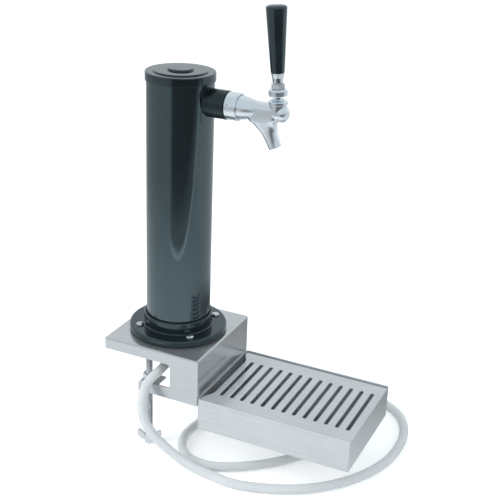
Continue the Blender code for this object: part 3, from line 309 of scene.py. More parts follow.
@dataclass(frozen=True)
class HexNut:
    """A hexagon nut with chamfered corners; with a lip it is a union nut, narrower from low."""

    flats: float
    low: float
    high: float
    bore: float
    lip_bore: float = 0.0
    lip: float = 0.0
    chamfer: float = 0.95
    slope: float = 0.577
    least_drop: float = 1e-5
    turn: float = 0.0
    sides: int = 96

    def surface(self) -> Surface:
        """Follows the hexagon round the axis, cut by a cone at both ends.

        The hexagon's side lies at half its flats over the cosine of the angle from the nearest
        flat. Where it reaches past the cone's circle, its edge drops in proportion to the excess.

        Returns:
            The nut about local z.
        """
        angles = full_turn(self.sides)
        corner = math.pi / 6
        reach = self.flats / 2 / np.cos((angles + corner) % (2 * corner) - corner)
        circle = self.chamfer * self.flats / 2 / math.cos(corner)
        flat = np.minimum(reach, circle)
        drop = np.maximum(reach - circle, 0) * self.slope + self.least_drop
        rings = [(flat, self.low), (reach, self.low + drop)]
        rings += [(reach, self.high - drop), (flat, self.high), (self.bore, self.high)]
        if self.lip_bore:
            rings += [(self.bore, self.low + self.lip), (self.lip_bore, self.low + self.lip)]
        rings += [(self.lip_bore or self.bore, self.low)]
        grid = [round_points(radius, angles + self.turn, height) for radius, height in rings]
        return Surface.woven(np.stack(grid), closed_rows=True)


def make_object(name: str, surfaces: list[Surface], crease: float = CREASE) -> Piece:
    """Puts surfaces into one mesh, closes its seams and poles, and turns its faces outwards.

    Args:
        name: The object's name.
        surfaces: The surfaces, in the part frame.
        crease: The angle in degrees past which an edge shades sharp.

    Returns:
        The object, at the origin.
    """
    counts = np.cumsum([0] + [len(part.points) for part in surfaces])
    points = np.vstack([part.points for part in surfaces])
    quads = np.vstack([part.quads + first for part, first in zip(surfaces, counts)])
    mesh = bpy.data.meshes.new(name)
    mesh.from_pydata(points, [], quads)
    work = bmesh.new()
    work.from_mesh(mesh)
    bmesh.ops.remove_doubles(work, verts=work.verts, dist=MERGE_DISTANCE)
    bmesh.ops.recalc_face_normals(work, faces=work.faces)
    work.to_mesh(mesh)
    work.free()
    shade(mesh, crease)
    piece = bpy.data.objects.new(name, mesh)
    bpy.context.scene.collection.objects.link(piece)
    return piece


def turned_ring(
    name: str, corners: list[Triple], place: Place = Place(), steps: int = 6,
    sides: int = ROUND_SIDES, closed: bool = True, crease: float = CREASE,
) -> Piece:
    """A piece turned from a profile with rounded corners.

    Args:
        name: The piece's name.
        corners: The profile's corners: radius, height and fillet.
        place: The frame whose z axis it is turned about.
        steps: How many pieces a fillet has.
        sides: How many sides a full turn has.
        closed: Whether the profile closes on itself; otherwise its ends are on the axis.
        crease: The angle in degrees past which an edge shades sharp.

    Returns:
        The piece.
    """
    surface = turned(rounded_path(corners, closed, steps), sides, closed)
    return make_object(name, [surface.at(place)], crease)


def turned_solid(
    name: str, profile: Array | list[Span], place: Place, sides: int = SMALL_SIDES, crease: float = CREASE,
) -> Piece:
    """A piece turned from a profile of radius and height whose ends are on the axis.

    Args:
        name: The piece's name.
        profile: Radius and height, one point per row.
        place: The frame whose z axis it is turned about.
        sides: How many sides a full turn has.
        crease: The angle in degrees past which an edge shades sharp.

    Returns:
        The piece.
    """
    return make_object(name, [turned(np.array(profile), sides, closed=False).at(place)], crease)


def shade(mesh: bpy.types.Mesh, crease: float) -> None:
    """Shades a mesh smooth, with its edges past the crease angle sharp."""
    mesh.shade_smooth()
    mesh.set_sharp_from_angle(angle=math.radians(crease))


def points_of(mesh: bpy.types.Mesh) -> Array:
    """A mesh's points, one per row."""
    points = np.empty(len(mesh.vertices) * 3)
    mesh.vertices.foreach_get("co", points)
    return points.reshape(-1, 3)


def bake_modifiers(piece: Piece) -> None:
    """Replaces an object's mesh with what its modifiers make of it."""
    graph = bpy.context.evaluated_depsgraph_get()
    mesh = bpy.data.meshes.new_from_object(piece.evaluated_get(graph))
    piece.modifiers.clear()
    piece.data = mesh


def combine(piece: Piece, tools: list[Piece], operation: str, crease: float = CREASE) -> None:
    """Joins closed shapes to an object, or cuts them from it, and removes them.

    Args:
        piece: The object that changes.
        tools: The closed shapes.
        operation: UNION or DIFFERENCE.
        crease: The angle in degrees past which an edge shades sharp.
    """
    for tool in tools:
        modifier = piece.modifiers.new(tool.name, "BOOLEAN")
        modifier.operation = operation
        modifier.solver = "MANIFOLD"
        modifier.object = tool
    bake_modifiers(piece)
    for tool in tools:
        bpy.data.objects.remove(tool, do_unlink=True)
    shade(piece.data, crease)


def relax(mesh: bpy.types.Mesh, weight: Array, rounds: int, pull: float = 0.6, push: float = 0.61) -> None:
    """Smooths a mesh where the weight says so.

    Each round moves a point a share of the way to the mean of its neighbours and then about as far
    back, which rounds creases without shrinking the shape.

    Args:
        mesh: The mesh.
        weight: A value from 0 to 1 for each point.
        rounds: How many rounds there are.
        pull: The share of the way to the mean.
        push: The share of the way back.
    """
    points = points_of(mesh)
    count = len(points)
    edges = np.empty(len(mesh.edges) * 2, np.int64)
    mesh.edges.foreach_get("vertices", edges)
    first, second = edges.reshape(-1, 2).T
    degree = np.bincount(edges, minlength=count)[:, None]
    for step in (pull, -push) * rounds:
        total = np.stack([
            np.bincount(first, points[second, k], count) + np.bincount(second, points[first, k], count)
            for k in range(3)
        ], axis=-1)
        points = points + step * weight[:, None] * (total / degree - points)
    mesh.vertices.foreach_set("co", points.ravel())
    mesh.update()


def settle(piece: Piece, finish: bpy.types.Material, body: Body, slot: Slot, *nodes: str) -> Piece:
    """Gives a finished piece its material and its body, and hides the solids that it stands for.

    Args:
        piece: The piece.
        finish: Its material.
        body: The body that it moves with.
        slot: The record's slot of its finish; not used.
        nodes: The solids that it replaces.

    Returns:
        The piece.
    """
    piece.data.materials.clear()
    piece.data.materials.append(finish)
    even = piece.modifiers.new("even_normals", "WEIGHTED_NORMAL")
    even.keep_sharp = True
    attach(piece, body.value)
    if nodes:
        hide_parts(*nodes)
    LOG.info("%s rides on %s", piece.name, body.value)
    return piece


class Nodes:
    """Adds and links the nodes of one tree."""

    def __init__(self, tree: bpy.types.NodeTree) -> None:
        """Keeps the tree."""
        self.tree = tree

    def add(self, kind: str, inputs: dict | None = None, **settings: object) -> bpy.types.Node:
        """Adds a node.

        Args:
            kind: Blender's name of the node.
            inputs: For each input, by name or number, a value or the socket that feeds it.
            settings: The node's own properties.

        Returns:
            The node.
        """
        node = self.tree.nodes.new(kind)
        for name, value in settings.items():
            setattr(node, name, value)
        self.feed(node, inputs or {})
        return node

    def feed(self, node: bpy.types.Node, inputs: dict) -> None:
        """Gives a node's inputs, by name or number, their values or the sockets that feed them."""
        for key, value in inputs.items():
            if isinstance(value, Socket):
                self.tree.links.new(value, node.inputs[key])
            else:
                node.inputs[key].default_value = value

    def math(self, operation: str, first: object, second: object = 0.0) -> Socket:
        """The result of one sum on two values or sockets."""
        return self.add("ShaderNodeMath", {0: first, 1: second}, operation=operation).outputs[0]

    def dot(self, first: object, second: object) -> Socket:
        """How far one vector reaches along another."""
        inputs = {0: first, 1: second}
        return self.add("ShaderNodeVectorMath", inputs, operation="DOT_PRODUCT").outputs["Value"]

    def spread(self, value: object, span: Span, levels: Span = (0.0, 1.0)) -> Socket:
        """Maps a value smoothly from a span to a pair of levels, and holds it there."""
        inputs = {0: value, 1: span[0], 2: span[1], 3: levels[0], 4: levels[1]}
        return self.add("ShaderNodeMapRange", inputs, interpolation_type="SMOOTHSTEP").outputs[0]

    def mix(self, factor: object, first: object, second: object) -> Socket:
        """A number between two, by a factor."""
        return self.add("ShaderNodeMix", {0: factor, 2: first, 3: second}).outputs[0]

    def tint(self, factor: object, first: Colour, second: Colour) -> Socket:
        """A colour between two, by a factor."""
        inputs = {0: factor, 6: (*first, 1.0), 7: (*second, 1.0)}
        return self.add("ShaderNodeMix", inputs, data_type="RGBA").outputs[2]

    def noise(self, place: Socket, scale: object, detail: float, roughness: float = 0.5) -> Socket:
        """Fractal noise at a place."""
        inputs = {"Vector": place, "Scale": scale, "Detail": detail, "Roughness": roughness}
        return self.add("ShaderNodeTexNoise", inputs).outputs[0]

    def bump(self, height: Socket, strength: float, distance: float) -> Socket:
        """A normal that follows small heights."""
        inputs = {"Strength": strength, "Distance": distance, "Height": height}
        return self.add("ShaderNodeBump", inputs).outputs[0]


@dataclass
class Effects:
    """Node groups that several finishes share."""

    side_turn: float = 0.7
    streak_detail: float = 3.0
    streak_roughness: float = 0.6
    cloud_scale: float = 16.0
    cloud_detail: float = 4.0
    cloud_roughness: float = 0.55
    mark_detail: float = 4.0
    mark_span: Span = (0.42, 0.68)
    speck_ratio: float = 14.0
    speck_detail: float = 2.0

    def __post_init__(self) -> None:
        """Builds each group once."""
        self.grain = self._grain()
        self.marks = self._marks()

    @staticmethod
    def _start(
        name: str, inputs: dict[str, float], outputs: list[str],
    ) -> tuple[Nodes, bpy.types.Node, bpy.types.Node]:
        """Makes a group with named float sockets.

        Args:
            name: The group's name.
            inputs: Its inputs with their values.
            outputs: Its outputs.

        Returns:
            The group's nodes, and its input and output nodes.
        """
        tree = bpy.data.node_groups.new(name, "ShaderNodeTree")
        for label, value in inputs.items():
            socket = tree.interface.new_socket(label, in_out="INPUT", socket_type="NodeSocketFloat")
            socket.default_value = value
        for label in outputs:
            tree.interface.new_socket(label, in_out="OUTPUT", socket_type="NodeSocketFloat")
        nodes = Nodes(tree)
        return nodes, nodes.add("NodeGroupInput"), nodes.add("NodeGroupOutput")

    def _grain(self) -> bpy.types.NodeTree:
        """Brushed sheet: noise drawn out along X, or along Y on a face that looks along X."""
        inputs = {"Fineness": 900.0, "Draw": 0.02}
        nodes, inside, outside = self._start("brushed_grain", inputs, ["Streak", "Cloud"])
        place = nodes.add("ShaderNodeTexCoord").outputs["Object"]
        facing = nodes.add("ShaderNodeNewGeometry").outputs["True Normal"]
        turn = nodes.add("ShaderNodeSeparateXYZ", {0: facing}).outputs[0]
        side = nodes.math("GREATER_THAN", nodes.math("ABSOLUTE", turn), self.side_turn)
        fine = inside.outputs["Fineness"]
        along = nodes.math("MULTIPLY", fine, inside.outputs["Draw"])
        ways = []
        for first, second in ((along, fine), (fine, along)):
            stretch = nodes.add("ShaderNodeCombineXYZ", {0: first, 1: second, 2: fine}).outputs[0]
            drawn = nodes.add("ShaderNodeVectorMath", {0: place, 1: stretch}, operation="MULTIPLY")
            ways.append(nodes.noise(drawn.outputs[0], 1.0, self.streak_detail, self.streak_roughness))
        cloud = nodes.noise(place, self.cloud_scale, self.cloud_detail, self.cloud_roughness)
        nodes.feed(outside, {"Streak": nodes.mix(side, *ways), "Cloud": cloud})
        return nodes.tree

    def _marks(self) -> bpy.types.NodeTree:
        """Handling marks: soft clouds with a finer speckle inside them."""
        nodes, inside, outside = self._start("handling_marks", {"Scale": 40.0}, ["Mark", "Peel"])
        place = nodes.add("ShaderNodeTexCoord").outputs["Object"]
        scale = inside.outputs["Scale"]
        mark = nodes.spread(nodes.noise(place, scale, self.mark_detail), self.mark_span)
        speck = nodes.noise(place, nodes.math("MULTIPLY", scale, self.speck_ratio), self.speck_detail)
        nodes.feed(outside, {"Mark": nodes.math("MULTIPLY", mark, speck), "Peel": speck})
        return nodes.tree


def start_material(name: str) -> tuple[bpy.types.Material, Nodes, bpy.types.Node]:
    """Makes a material.

    Args:
        name: The material's name.

    Returns:
        The material, its nodes and its Principled shader.
    """
    made = bpy.data.materials.new(name)
    made.use_nodes = True
    return made, Nodes(made.node_tree), made.node_tree.nodes["Principled BSDF"]


@dataclass(frozen=True)
class MarkedFinish:
    """A finish whose colour, roughness and relief follow the handling marks."""

    name: str
    plain: Colour
    marked: Colour
    polish: Span
    mark_scale: float
    mark_full: float = 0.6
    relief: float = 0.0
    relief_strength: float = 0.0

    def sockets(self) -> dict[str, object]:
        """The shader's values that are the same all over."""
        return {}

    def build(self, effects: Effects) -> bpy.types.Material:
        """Makes the material."""
        made, nodes, shader = start_material(self.name)
        marks = nodes.add("ShaderNodeGroup", {"Scale": self.mark_scale}, node_tree=effects.marks)
        mark = marks.outputs["Mark"]
        rough = nodes.spread(mark, (0.0, self.mark_full), self.polish)
        nodes.feed(shader, {"Base Color": nodes.tint(mark, self.plain, self.marked), "Roughness": rough})
        if self.relief:
            normal = nodes.bump(marks.outputs["Peel"], self.relief_strength, self.relief)
            nodes.feed(shader, {"Normal": normal})
        nodes.feed(shader, self.sockets())
        return made


@dataclass(frozen=True)
class GlossCoat(MarkedFinish):
    """A gloss black coat: a dark base with a slate sheen and a faint orange peel."""

    plain: Colour = (0.006, 0.009, 0.010)
    marked: Colour = (0.012, 0.016, 0.018)
    polish: Span = (0.035, 0.09)
    mark_scale: float = 34.0
    relief: float = 0.00002
    relief_strength: float = 0.25
    bend: float = 2.1
    sheen: Colour = (0.66, 0.90, 1.0)

    def sockets(self) -> dict[str, object]:
        """The coat's refraction and the tint of what it reflects."""
        return {"IOR": self.bend, "Specular Tint": (*self.sheen, 1.0)}


@dataclass(frozen=True)
class PlatedMetal(MarkedFinish):
    """A plated metal: bright, with handling marks that dull it a little."""

    mark_scale: float = 60.0
    relief: float = 0.000004
    relief_strength: float = 0.2

    def sockets(self) -> dict[str, object]:
        """A full metal."""
        return {"Metallic": 1.0}


@dataclass(frozen=True)
class ClearVinyl(MarkedFinish):
    """Clear vinyl hose: slightly milky, with faint cloudiness."""

    plain: Colour = (0.985, 0.99, 0.995)
    marked: Colour = (0.95, 0.962, 0.97)
    polish: Span = (0.10, 0.22)
    mark_scale: float = 22.0
    clearness: float = 0.40
    bend: float = 1.42

    def sockets(self) -> dict[str, object]:
        """The vinyl's clearness and refraction."""
        return {"Transmission Weight": self.clearness, "IOR": self.bend}


@dataclass(frozen=True)
class MattRubber(MarkedFinish):
    """Matt rubber with a fine tooth."""

    plain: Colour = (0.016, 0.016, 0.017)
    marked: Colour = (0.036, 0.036, 0.038)
    polish: Span = (0.55, 0.8)
    mark_scale: float = 80.0
    relief: float = 0.00005
    relief_strength: float = 0.4


@dataclass(frozen=True)
class BrushedSteel:
    """Brushed stainless sheet: fine drawn streaks over slow clouds of tone."""

    name: str
    dark: Colour = (0.58, 0.597, 0.613)
    light: Colour = (0.735, 0.748, 0.766)
    polish: Span = (0.17, 0.27)
    metal: float = 0.82
    fineness: float = 900.0
    cloud_span: Span = (0.3, 0.7)
    cloud_levels: Span = (-0.16, 0.16)
    tone_span: Span = (0.2, 0.8)
    scratch: float = 0.00002
    scratch_strength: float = 0.3

    def build(self, effects: Effects) -> bpy.types.Material:
        """Makes the material."""
        made, nodes, shader = start_material(self.name)
        grain = nodes.add("ShaderNodeGroup", {"Fineness": self.fineness}, node_tree=effects.grain)
        streak = grain.outputs["Streak"]
        cloud = nodes.spread(grain.outputs["Cloud"], self.cloud_span, self.cloud_levels)
        tone = nodes.math("ADD", streak, cloud)
        nodes.feed(shader, {
            "Base Color": nodes.tint(tone, self.dark, self.light),
            "Roughness": nodes.spread(tone, self.tone_span, self.polish),
            "Normal": nodes.bump(streak, self.scratch_strength, self.scratch),
            "Metallic": self.metal,
        })
        return made


class Finishes:
    """Every finish of the part, made once."""

    def __init__(self) -> None:
        """Makes the finishes."""
        effects = Effects()
        self.coat = GlossCoat("gloss_black_coat").build(effects)
        self.cap = GlossCoat("cap_coat", bend=1.85).build(effects)
        self.flange = GlossCoat("flange_coat", bend=1.8).build(effects)
        self.sleeve = GlossCoat("black_sleeve", polish=(0.14, 0.24), bend=1.5).build(effects)
        self.handle = GlossCoat("black_handle", polish=(0.12, 0.22), bend=1.9).build(effects)
        chrome = PlatedMetal("chrome", (0.78, 0.83, 0.88), (0.70, 0.75, 0.80), (0.12, 0.20))
        satin = PlatedMetal("satin_chrome", (0.83, 0.88, 0.93), (0.76, 0.81, 0.86), (0.24, 0.32))
        zinc = PlatedMetal("bright_zinc", (0.70, 0.71, 0.73), (0.56, 0.58, 0.60), (0.18, 0.34))
        brass = PlatedMetal("nickel_brass", (0.64, 0.61, 0.55), (0.50, 0.47, 0.41), (0.2, 0.35))
        self.chrome = chrome.build(effects)
        self.casting = satin.build(effects)
        self.zinc = zinc.build(effects)
        self.brass = brass.build(effects)
        self.bracket = BrushedSteel("bracket_steel", (0.54, 0.55, 0.565), (0.68, 0.69, 0.705)).build(effects)
        self.tray = BrushedSteel("tray_steel").build(effects)
        self.rubber = MattRubber("black_rubber").build(effects)
        self.vinyl = ClearVinyl("clear_vinyl").build(effects)


@dataclass(frozen=True)
class Softbox:
    """A rectangular lamp: its place, what it points at, its size and its power."""

    name: str
    place: Triple
    target: Triple
    width: float
    height: float
    power: float

    def hang(self) -> None:
        """Adds the lamp, which reflections don't show."""
        data = bpy.data.lights.new(self.name, "AREA")
        data.shape = "RECTANGLE"
        data.size = self.width
        data.size_y = self.height
        data.energy = self.power
        lamp = bpy.data.objects.new(self.name, data)
        bpy.context.scene.collection.objects.link(lamp)
        lamp.visible_glossy = False
        lamp.location = self.place
        aim = Vector(self.target) - Vector(self.place)
        lamp.rotation_euler = aim.to_track_quat("-Z", "Y").to_euler()


@dataclass
class Studio:
    """Camera, floor, backdrop and lamps."""

    camera_place: Triple = (0.5244, -0.95905, 0.57574)
    right: Triple = (0.90473, 0.42449, 0.03573)
    up: Triple = (-0.19435, 0.33666, 0.92135)
    back: Triple = (0.37907, -0.84052, 0.38709)
    focal_pixels: float = 1002.68
    frame_pixels: float = 500.0
    sensor: float = 36.0
    ground: float = -0.122
    floor_reach: float = 6.0
    floor_points: int = 9
    floor_colour: Colour = (0.86, 0.865, 0.87)
    floor_roughness: float = 0.9
    floor_gloss: float = 0.1
    floor_glow: float = 0.42
    away: Triple = (-0.411, 0.912, 0.0)
    aside: Triple = (0.912, 0.411, 0.0)
    # The floor's painted reflection: its levels, painted shade, front edge, painted glint and the painted
    # dark room past the edge
    sheet_span: Span = (0.30, 1.10)
    sheet_levels: Span = (1.0, 0.52)
    shade_way: Triple = (0.38, 0.84, 0.0)
    shade_span: Span = (-0.10, 0.45)
    shaded_span: Span = (0.38, 0.52)
    shaded_levels: Span = (0.12, 0.72)
    sheet_edge: float = -0.61
    edge_width: float = 0.01
    glint_span: Span = (0.008, 0.028)
    edge_glint: float = 0.7
    room_line: Span = (-0.50, -0.32)
    room_reach: float = 0.45
    room_levels: Span = (1.0, 0.5)
    dark_level: float = 0.10
    mirror_tint: Colour = (0.93, 0.98, 1.0)
    room_tint: Colour = (0.86, 0.95, 1.0)
    room_level: float = 0.72
    upper_level: float = 0.82
    fill_level: float = 0.85
    behind_span: Span = (-0.1, 0.6)
    horizon_span: Span = (-0.05, 0.0)
    upper_span: Span = (0.0, 0.5)
    lamps: tuple[Softbox, ...] = (
        Softbox("key_softbox", (-1.05, -1.0, 1.0), (0.0, 0.0, 0.12), 0.9, 1.1, 13.0),
        Softbox("fill_softbox", (1.5, -0.5, 0.8), (0.1, 0.0, 0.1), 0.7, 1.1, 2.5),
    )

    def set_camera(self) -> None:
        """Places the camera as the photograph was taken."""
        data = bpy.data.cameras.new("photo_camera")
        data.sensor_width = self.sensor
        data.lens = self.focal_pixels / self.frame_pixels * self.sensor
        camera = bpy.data.objects.new("photo_camera", data)
        bpy.context.scene.collection.objects.link(camera)
        turn = Matrix((self.right, self.up, self.back)).transposed().to_4x4()
        camera.matrix_world = Matrix.Translation(self.camera_place) @ turn
        bpy.context.scene.camera = camera

    def lay_floor(self) -> None:
        """Lays a pale floor that shows white to the camera and keeps the object's shadow; to reflections it
        shows a painted glow of light and shade instead of the lit floor.
        """
        reach = np.linspace(-self.floor_reach, self.floor_reach, self.floor_points)
        x, y = np.meshgrid(reach, reach, indexing="ij")
        grid = np.stack([x, y, np.full_like(x, self.ground)], axis=-1)
        floor = make_object("studio_floor", [Surface.woven(grid, closed_columns=False)])
        made, nodes, shader = start_material("pale_floor")
        path = nodes.add("ShaderNodeLightPath").outputs
        seen = nodes.math("MAXIMUM", path["Is Camera Ray"], path["Is Transmission Ray"])
        nodes.feed(shader, {
            "Base Color": (*self.floor_colour, 1.0),
            "Roughness": self.floor_roughness,
            "Specular IOR Level": self.floor_gloss,
            "Emission Color": (*WHITE, 1.0),
            "Emission Strength": nodes.math("MULTIPLY", seen, self.floor_glow),
        })
        # Reflections see this painted glow of light, shade and glint, not the lit floor
        glow = {"Color": (*self.mirror_tint, 1.0), "Strength": self.painted_floor_glow(nodes)}
        painted_reflection = nodes.add("ShaderNodeEmission", glow).outputs[0]
        inputs = {0: path["Is Glossy Ray"], 1: shader.outputs[0], 2: painted_reflection}
        mixed = nodes.add("ShaderNodeMixShader", inputs).outputs[0]
        nodes.feed(nodes.tree.nodes["Material Output"], {"Surface": mixed})
        floor.data.materials.append(made)
        floor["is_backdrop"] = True

    def painted_floor_glow(self, nodes: Nodes) -> Socket:
        """How brightly the floor glows in reflections: a painted reflection, not lit.

        It glows white about the object, falls off with distance and carries painted shade to the right and
        behind. The sheet ends at a straight front edge with a painted glint. The painted room beyond that
        edge darkens with depth, and ends on the left at a line that runs out from the object.

        Args:
            nodes: The floor material's nodes.

        Returns:
            The painted brightness.
        """
        place = nodes.add("ShaderNodeTexCoord").outputs["Object"]
        distance = nodes.add("ShaderNodeVectorMath", {0: place}, operation="LENGTH").outputs["Value"]
        near = nodes.spread(distance, self.sheet_span, self.sheet_levels)
        shaded = nodes.spread(distance, self.shaded_span, self.shaded_levels)
        # Painted shade to the right and behind
        level = nodes.mix(nodes.spread(nodes.dot(place, self.shade_way), self.shade_span), near, shaded)
        depth = nodes.dot(place, self.away)
        edge = self.sheet_edge
        right = nodes.spread(nodes.math("DIVIDE", nodes.dot(place, self.aside), distance), self.room_line)
        sharp = nodes.spread(depth, (edge, edge + self.edge_width), (1.0, 0.0))
        deep = nodes.spread(depth, (edge - self.room_reach, edge), self.room_levels)
        past = nodes.math("MULTIPLY", nodes.math("MULTIPLY", right, sharp), deep)
        level = nodes.mix(past, level, self.dark_level)
        beside = nodes.math("ABSOLUTE", nodes.math("SUBTRACT", depth, edge))
        # Painted glint along the sheet's front edge
        glint = nodes.spread(beside, self.glint_span, (self.edge_glint, 0.0))
        return nodes.math("ADD", level, nodes.math("MULTIPLY", right, glint))

    def hang_backdrop(self) -> None:
        """Makes the world: white to the camera, and to reflections bright behind and dim in front."""
        world = bpy.data.worlds.new("studio")
        bpy.context.scene.world = world
        world.use_nodes = True
        world.node_tree.nodes.clear()
        nodes = Nodes(world.node_tree)
        way = nodes.add("ShaderNodeTexCoord").outputs["Generated"]
        behind = nodes.spread(nodes.dot(way, self.away), self.behind_span)
        height = nodes.add("ShaderNodeSeparateXYZ", {0: way}).outputs[2]
        path = nodes.add("ShaderNodeLightPath").outputs
        glossy = path["Is Glossy Ray"]
        above = nodes.spread(height, self.horizon_span, (self.dark_level, self.room_level))
        dim = {"Color": (*self.room_tint, 1.0), "Strength": nodes.mix(glossy, self.fill_level, above)}
        room = nodes.add("ShaderNodeBackground", dim).outputs[0]
        upper = nodes.spread(height, self.upper_span, (1.0, self.upper_level))
        shown = nodes.mix(glossy, 1.0, upper)
        pale = {"Color": nodes.tint(glossy, WHITE, self.mirror_tint), "Strength": shown}
        white = nodes.add("ShaderNodeBackground", pale).outputs[0]
        seen = nodes.math("MAXIMUM", path["Is Camera Ray"], path["Is Transmission Ray"])
        seen = nodes.math("MAXIMUM", seen, nodes.math("MULTIPLY", glossy, behind))
        mixed = nodes.add("ShaderNodeMixShader", {0: seen, 1: room, 2: white})
        nodes.add("ShaderNodeOutputWorld", {0: mixed.outputs[0]})

    def build(self) -> None:
        """Sets up the whole studio."""
        bpy.context.scene.view_settings.view_transform = "Standard"
        self.set_camera()
        self.lay_floor()
        self.hang_backdrop()
        for lamp in self.lamps:
            lamp.hang()


@dataclass
class BeerHose:
    """The hose from the elbow down the column and round on the ground, and its end fitting."""

    radius: float = 0.00555
    bore: float = 0.0034
    ground_z: float = -0.11615
    elbow_x: float = -0.0160
    elbow_z: float = 0.280
    elbow_run: float = 0.030
    samples: int = 720
    sides: int = 28
    crease: float = 60.0
    chord: float = 0.0235
    column_knots: int = 12
    ground_knot: int = 17
    fillet_steps: int = 3
    band_thickness: float = 0.0012
    band_length: float = 0.008
    band_back: float = 0.004
    ear_height: float = 0.004
    ear_width: float = 0.005
    ear_round: float = 0.0012
    ear_edge: float = 0.0003
    ear_steps: int = 5
    tail_radius: float = 0.0048
    tail_length: float = 0.0137
    tail_bore: float = 0.0031
    tail_round: float = 0.0004
    flange_radius: float = 0.0112
    flange_thickness: float = 0.0025
    nut_flats: float = 0.027
    nut_lip: float = 0.003
    nut_reach: float = 0.0075

    def route(self) -> Array:
        """The points that the hose passes through."""
        top = [
            (self.elbow_x, 0.000, self.elbow_z - GAP), (self.elbow_x, 0.000, self.elbow_z - self.elbow_run),
            (-0.014, 0.003, 0.195), (-0.0075, 0.013, 0.110), (-0.0015, 0.0215, 0.055),
            (0.001, 0.022, 0.029), (0.003, 0.016, 0.008), (0.005, 0.000, -0.008),
            (0.007, -0.022, -0.014), (0.0075, -0.044, -0.0152), (0.0065, -0.059, -0.0176),
            (0.0005, -0.0725, -0.0262), (-0.0012, -0.0815, -0.0389), (0.0012, -0.0885, -0.0549),
            (0.0089, -0.092, -0.0711), (0.0222, -0.093, -0.0849), (0.0421, -0.092, -0.0986),
            (0.0645, -0.0902, -0.1098), (0.0905, -0.0893, -0.1158),
        ]
        lying = [
            (0.120, -0.0922), (0.152, -0.0855), (0.196, -0.065), (0.235, -0.029), (0.262, 0.020),
            (0.270, 0.062), (0.266, 0.105), (0.247, 0.142), (0.213, 0.162), (0.170, 0.160),
            (0.124, 0.140), (0.082, 0.104), (0.052, 0.058), (0.032, 0.010), (0.0275, -0.028),
            (0.0365, -0.054), (0.0575, -0.0715), (0.083, -0.0735), (0.111, -0.061), (0.148, -0.031),
        ]
        end = [(0.186, 0.018, -0.1125), (0.204, 0.084, -0.108)]
        return np.array(top + [(x, y, self.ground_z) for x, y in lying] + end)

    def stations(self) -> tuple[Array, Array, Array]:
        """The route's points, the lengths of its chords, and each point's distance along them."""
        route = self.route()
        runs = np.linalg.norm(np.diff(route, axis=0), axis=1)
        return route, runs, np.concatenate([[0.0], np.cumsum(runs)])

    def line(self, places: Array | None = None) -> Array:
        """Points on a natural cubic spline through the route.

        The second derivatives solve the usual tridiagonal system over chord lengths.

        Args:
            places: Distances along the chords, or None for even samples.

        Returns:
            The points.
        """
        route, runs, knots = self.stations()
        slopes = np.diff(route, axis=0) / runs[:, None]
        middle = np.concatenate([[1.0], 2 * (runs[:-1] + runs[1:]), [1.0]])
        lower = np.append(runs[:-1], 0.0)
        upper = np.append(0.0, runs[1:])
        system = np.diag(middle) + np.diag(lower, -1) + np.diag(upper, 1)
        right = np.zeros_like(route)
        right[1:-1] = 6 * np.diff(slopes, axis=0)
        bends = np.linalg.solve(system, right)
        if places is None:
            places = np.linspace(0, knots[-1], self.samples)
        span = np.clip(np.searchsorted(knots, places, side="right") - 1, 0, len(runs) - 1)
        run = runs[span][:, None]
        after = (places - knots[span])[:, None]
        before = run - after
        points = (bends[span] * before ** 3 + bends[span + 1] * after ** 3) / (6 * run)
        points += (route[span] / run - bends[span] * run / 6) * before
        return points + (route[span + 1] / run - bends[span + 1] * run / 6) * after

    def frames(self, line: Array) -> tuple[Array, Array]:
        """Two directions across the hose at each point.

        A guide direction that is never along the hose, X down the column, Y down to the ground and
        Z on it, is blended along the route; the two directions are its cross products.

        Args:
            line: The hose's points.

        Returns:
            The side and up directions.
        """
        ahead = np.gradient(line, axis=0)
        ahead /= np.linalg.norm(ahead, axis=1)[:, None]
        route, _, knots = self.stations()
        guides = np.zeros_like(route)
        guides[:self.column_knots, 0] = 1.0
        guides[self.column_knots:self.ground_knot, 1] = 1.0
        guides[self.ground_knot:, 2] = 1.0
        share = np.linspace(0, knots[-1], len(line))
        guide = np.stack([np.interp(share, knots, guides[:, k]) for k in range(3)], axis=-1)
        side = np.cross(ahead, guide)
        side /= np.linalg.norm(side, axis=1)[:, None]
        return side, np.cross(side, ahead)

    def tube(self, line: Array) -> Surface:
        """The hose's wall: a circle carried along the line outside, and back along it inside."""
        side, up = self.frames(line)
        angles = full_turn(self.sides)[None, :, None]
        ring = np.cos(angles) * side[:, None, :] + np.sin(angles) * up[:, None, :]
        outer = line[:, None, :] + self.radius * ring
        inner = line[::-1, None, :] + self.bore * ring[::-1]
        return Surface.woven(np.concatenate([outer, inner]), closed_rows=True)

    def end_place(self) -> Place:
        """The frame of the hose's far end, with z along the hose."""
        _, runs, _ = self.stations()
        total = runs.sum()
        last = self.line(np.array([total - total / round(total / self.chord), total]))
        ahead = Vector(last[1] - last[0]).normalized()
        turn = ahead.to_track_quat("Z", "X").to_matrix().transposed()
        return Place(tuple(last[1]), tuple(tuple(row) for row in turn))

    def band(self, place: Place) -> Piece:
        """A hose band with its pinched ear."""
        inner = self.radius + GAP
        outer = inner + self.band_thickness
        low = -self.band_back - self.band_length
        high = -self.band_back
        fillet = self.band_thickness / 4
        ring = [(inner, low, fillet), (outer, low, fillet), (outer, high, fillet), (inner, high, fillet)]
        made = turned_ring("hose_band", ring, place, self.fillet_steps, SMALL_SIDES)
        half = self.ear_width / 2
        root = inner + self.band_thickness / 2
        crest = outer + self.ear_height
        ear = [(root, -half, 0.0), (crest, -half, self.ear_round)]
        ear += [(crest, half, self.ear_round), (root, half, 0.0)]
        flat = slab(rounded_path(ear, True, self.ear_steps), low + GAP, high - GAP, self.ear_edge)
        combine(made, [make_object("band_ear", [flat.at(place)])], "UNION")
        return made

